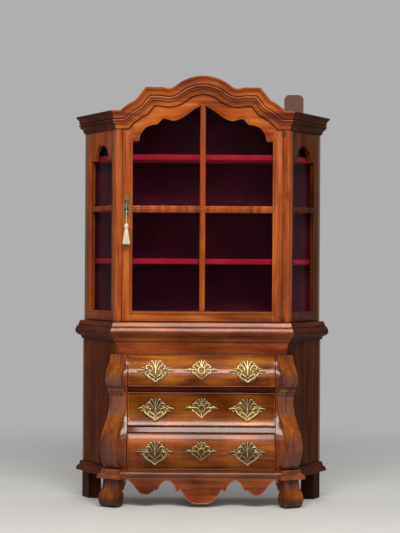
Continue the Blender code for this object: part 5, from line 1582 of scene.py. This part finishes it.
# The bail's right half from the end of its pivot, its ball ends and its rings
BAIL_LINE = thousandths((
    (0, 0), (3, -0.5), (6.5, -4), (7, -11), (1, -21), (-10, -30), (-20, -35.5), (-28, -41),
))
BAIL_BALL = thousandths(((0, 3.5), (2, 3), (3.4, 1.4), (3.7, 0), (3.4, -1.4), (2, -3), (0, -3.5)))
BAIL_RING = thousandths(((0, 1.1), (3, 1.1), (3.4, 0), (3, -1.1), (0, -1.1)))
KEY_STEM = thousandths((
    (0, 0), (2.2, 0), (2.2, -29), (1.6, -33), (1.6, -34), (2.6, -35.2), (1.8, -36.6), (2.4, -38),
    (1.4, -39.2), (0, -39.6),
))
TASSEL_HEAD = thousandths((
    (0, 0), (2.2, -0.4), (5, -2.6), (7, -6.2), (7.6, -10), (7.2, -13.8), (5.8, -16.8), (5, -18.5), (0, -19),
))
TASSEL_CORE = thousandths(((0, -20), (4, -20.5), (6.2, -32), (8.8, -50), (11.8, -79), (0, -79.5)))
# A thread wound over the head: how far round, its radius and its drop
HEAD_THREAD = (
    (0.0, 0.0014, 0.0004), (0.25, 0.0052, 0.0030), (0.5, 0.0074, 0.0078), (0.75, 0.0074, 0.0124),
    (1.0, 0.0054, 0.0172),
)


def make_pull(word, side, x, z):
    """A pierced plate with two studs, and the bail that hangs from them."""
    seat_z = z + PULL_DROP
    slope = (front_y(seat_z + 0.010) - front_y(seat_z - 0.010)) / 0.020
    out = Vector((0, -1, slope)).normalized()
    seat = Vector((x, front_y(seat_z) - GAP - PLATE_THICKNESS / 2, seat_z))
    pivot = seat + out * (PLATE_THICKNESS / 2 + BAIL_STANDOFF)
    parts = [bend(ornament(PULL_OUTLINE, PULL_HOLES, PULL_STROKES, PULL_MIDDLE, x, z))]
    parts += [stud(seat + Vector((sign * POST_SPACING, 0, 0)), out, ROSETTE) for sign in (-1, 1)]
    node = word + "_" + side
    add_plate(node + "_rococo_plate", merge(*parts), word + "_drawer", node + "_plate")
    clear = PLATE_THICKNESS + BAIL_RADIUS + 4 * GAP
    lean = min([0.0] + [
        (front_y(level) - clear - pivot.y) / (pivot.z - level)
        for level in levels(pivot.z - BAIL_DROP - BAIL_RADIUS, pivot.z - 0.010)
    ])
    end = POST_SPACING + POST_RADIUS + GAP
    right = smooth_line([(end + u, v) for u, v in BAIL_LINE] + [(0.0, -BAIL_DROP)], 6)
    line = right + flipped(right[-2::-1])
    last = len(line) - 1
    radii = []
    for i in range(len(line)):
        share = abs(2 * i / last - 1)
        swelling = 0.0009 * math.exp(-(share / 0.10) ** 2) + 0.0006 * math.exp(-((share - 0.45) / 0.14) ** 2)
        radii.append(BAIL_RADIUS * 0.72 + swelling)
    path = [(x + u, pivot.y - lean * v, pivot.z + v) for u, v in line]
    parts = [tube(path, radii, 12)]
    for sign, tip, joint in ((-1, path[-1], path[last - 18]), (1, path[0], path[18])):
        parts.append(stud(Vector(tip) + Vector((sign * 0.0035, 0, 0)), (1, 0, 0), BAIL_BALL, 14))
        parts.append(stud(joint, (0.6, 0, -0.8 * sign), BAIL_RING, 14))
    add_piece(node + "_swan_bail", merge(*parts), node + "_bail", BRASS, [node + "_bail"], sharp=50)


def make_brass():
    """The drawers' pulls and escutcheons, the door's escutcheon and its two pin hinges."""
    for word, (low, high) in zip(DRAWER_WORDS, DRAWER_LEVELS):
        middle = (low + high) / 2
        for sign, side in SIDE_NAMES:
            make_pull(word, side, sign * PULL_X, middle)
        plate = ornament(KEY_OUTLINE, KEY_HOLES, KEY_STROKES, KEY_MIDDLE, 0.0, middle + PULL_DROP,
                         [keyhole(0.005, 0.014)])
        add_plate(word + "_rococo_keyplate", bend(plate), word + "_drawer", word + "_keyhole_plate")
    eye = oval(0.0, LOCK_Z - DOOR_PLATE_CENTRE_Z, KEYWAY_RADIUS, KEYWAY_RADIUS, 16)
    plate = ornament(DOOR_OUTLINE, DOOR_HOLES, DOOR_STROKES, DOOR_MIDDLE, LOCK_X, DOOR_PLATE_CENTRE_Z, [eye])
    add_plate("door_rococo_plate", plate, "door", "door_escutcheon", flat)
    r, h = HINGE_RADIUS, HINGE_HEIGHT
    half = ((0.0, 0.0), (r * 0.45, 0.0004), (r * 0.62, 0.0016), (r * 0.50, 0.0030), (r * 0.98, 0.0036),
            (r, 0.0044), (r, h * 0.48), (r * 0.90, h * 0.49))
    profile = [(radius, h - drop) for radius, drop in half] + list(half[::-1])
    leaf_x = POST_INNER_X - GAP
    for word, low in (("lower", UPPER_FLOOR_Z + GAP), ("upper", SHOULDER_Z - ARCH_GAP - h)):
        leaf = block((leaf_x - 0.001, HINGE_Y, low + 0.0045), (leaf_x, 0.018, low + h - 0.0045))
        mesh = merge(turned(profile, (HINGE_X, HINGE_Y, low), 24), soften(leaf, 0.0003, 1))
        add_piece(word + "_pin_hinge", mesh, "cabinet", BRASS_GROUND, [word + "_door_hinge"], sharp=40)


def make_key():
    """Key with a ring bow, its twisted cord and the silk tassel."""
    centre = Vector((LOCK_X, HANG_Y, LOCK_Z))
    ring = [centre + Vector((0, BOW_RADIUS * math.cos(a), BOW_RADIUS * math.sin(a))) for a in angles(40)]
    stem_end = FACE_THICKNESS + GAP - 0.0014
    share = (stem_end - (HANG_Y + BOW_RADIUS)) / -KEY_STEM[-1][1]
    rod = stud((LOCK_X, stem_end, LOCK_Z), (0, 1, 0), [(radius, rise * share) for radius, rise in KEY_STEM])
    bow = tube(ring, BOW_WIRE, 12, closed=True)
    add_piece("bow_key", merge(bow, rod), "key", STEEL, ["door_key"], sharp=50)
    top = LOCK_Z - BOW_RADIUS - BOW_WIRE - GAP
    step = (TASSEL_TOP_Z + GAP - top) / (2 * (CORD_POINTS - 1))
    path = [Vector((LOCK_X, HANG_Y, top + step * i)) for i in range(2 * CORD_POINTS - 1 + CORD_WITHIN)]
    low = path[-1].z
    rings = []
    for i in range(CORD_RINGS + 1):
        centre = Vector((LOCK_X, HANG_Y, top + (low - top) * i / CORD_RINGS))
        turn = 2 * math.pi * i / CORD_TURN
        rings.append([
            round_about(centre, CORD_DIAMETER / 2 * (0.86 + 0.14 * math.cos(3 * (a - turn))), a, 0)
            for a in angles(18)
        ])
    cord = add_piece("twisted_cord", loft(rings), "tassel", THREAD, ["key_cord"], sharp=80)
    tassel = make_tassel()


def make_tassel():
    """A wound head, a bound neck and a skirt of separate twisted threads."""
    draw = random.Random(41)
    hang = Vector((LOCK_X, HANG_Y, TASSEL_TOP_Z))
    parts = [turned(TASSEL_HEAD, hang, 28)]
    for start in angles(14):
        line = [round_about(hang, radius, start + 1.5 * t, -drop) for t, radius, drop in HEAD_THREAD]
        parts.append(tube(smooth_line(line, 4), WOUND_THREAD, 6))
    for k in range(4):
        z = -0.0182 - 0.0013 * k
        ring = [round_about(hang, 0.0052, a, z + 0.0005 * math.sin(3 * a + k)) for a in angles(24)]
        parts.append(tube(ring, BINDING_THREAD, 6, closed=True))
    for row, (count, inner) in enumerate(SKIRT_ROWS):
        for k in range(count):
            angle = 2 * math.pi * (k + 0.5 * row + draw.uniform(-0.22, 0.22)) / count
            wave = draw.uniform(-0.05, 0.05)
            drop = TASSEL_HEIGHT - 0.0004 - draw.uniform(0.0, 0.0030)
            line = []
            for t in SKIRT_STEPS:
                radius = inner * (0.0046 + 0.0104 * t ** 0.85 + 0.0004 * math.sin(9 * t + k))
                turn = angle + wave * math.sin(4 * t) + 0.02 * row
                line.append(round_about(hang, radius, turn, -SKIRT_DROP - (drop - SKIRT_DROP) * t))
            parts.append(tube(smooth_line(line, 2), SKIRT_THREAD, 5))
    parts.append(turned(TASSEL_CORE, hang, 20))
    return add_piece("silk_tassel", merge(*parts), "tassel", THREAD, ["key_tassel"], sharp=80)


make_camera()
dress_solids()
make_stage()
make_cornice()
make_waist()
make_plinth()
make_face_frame()
make_side_frames()
make_door_frame()
make_lower_frame()
make_trusses()
make_drawer_fronts()
make_apron()
make_feet()
make_linings()
make_brass()
make_key()
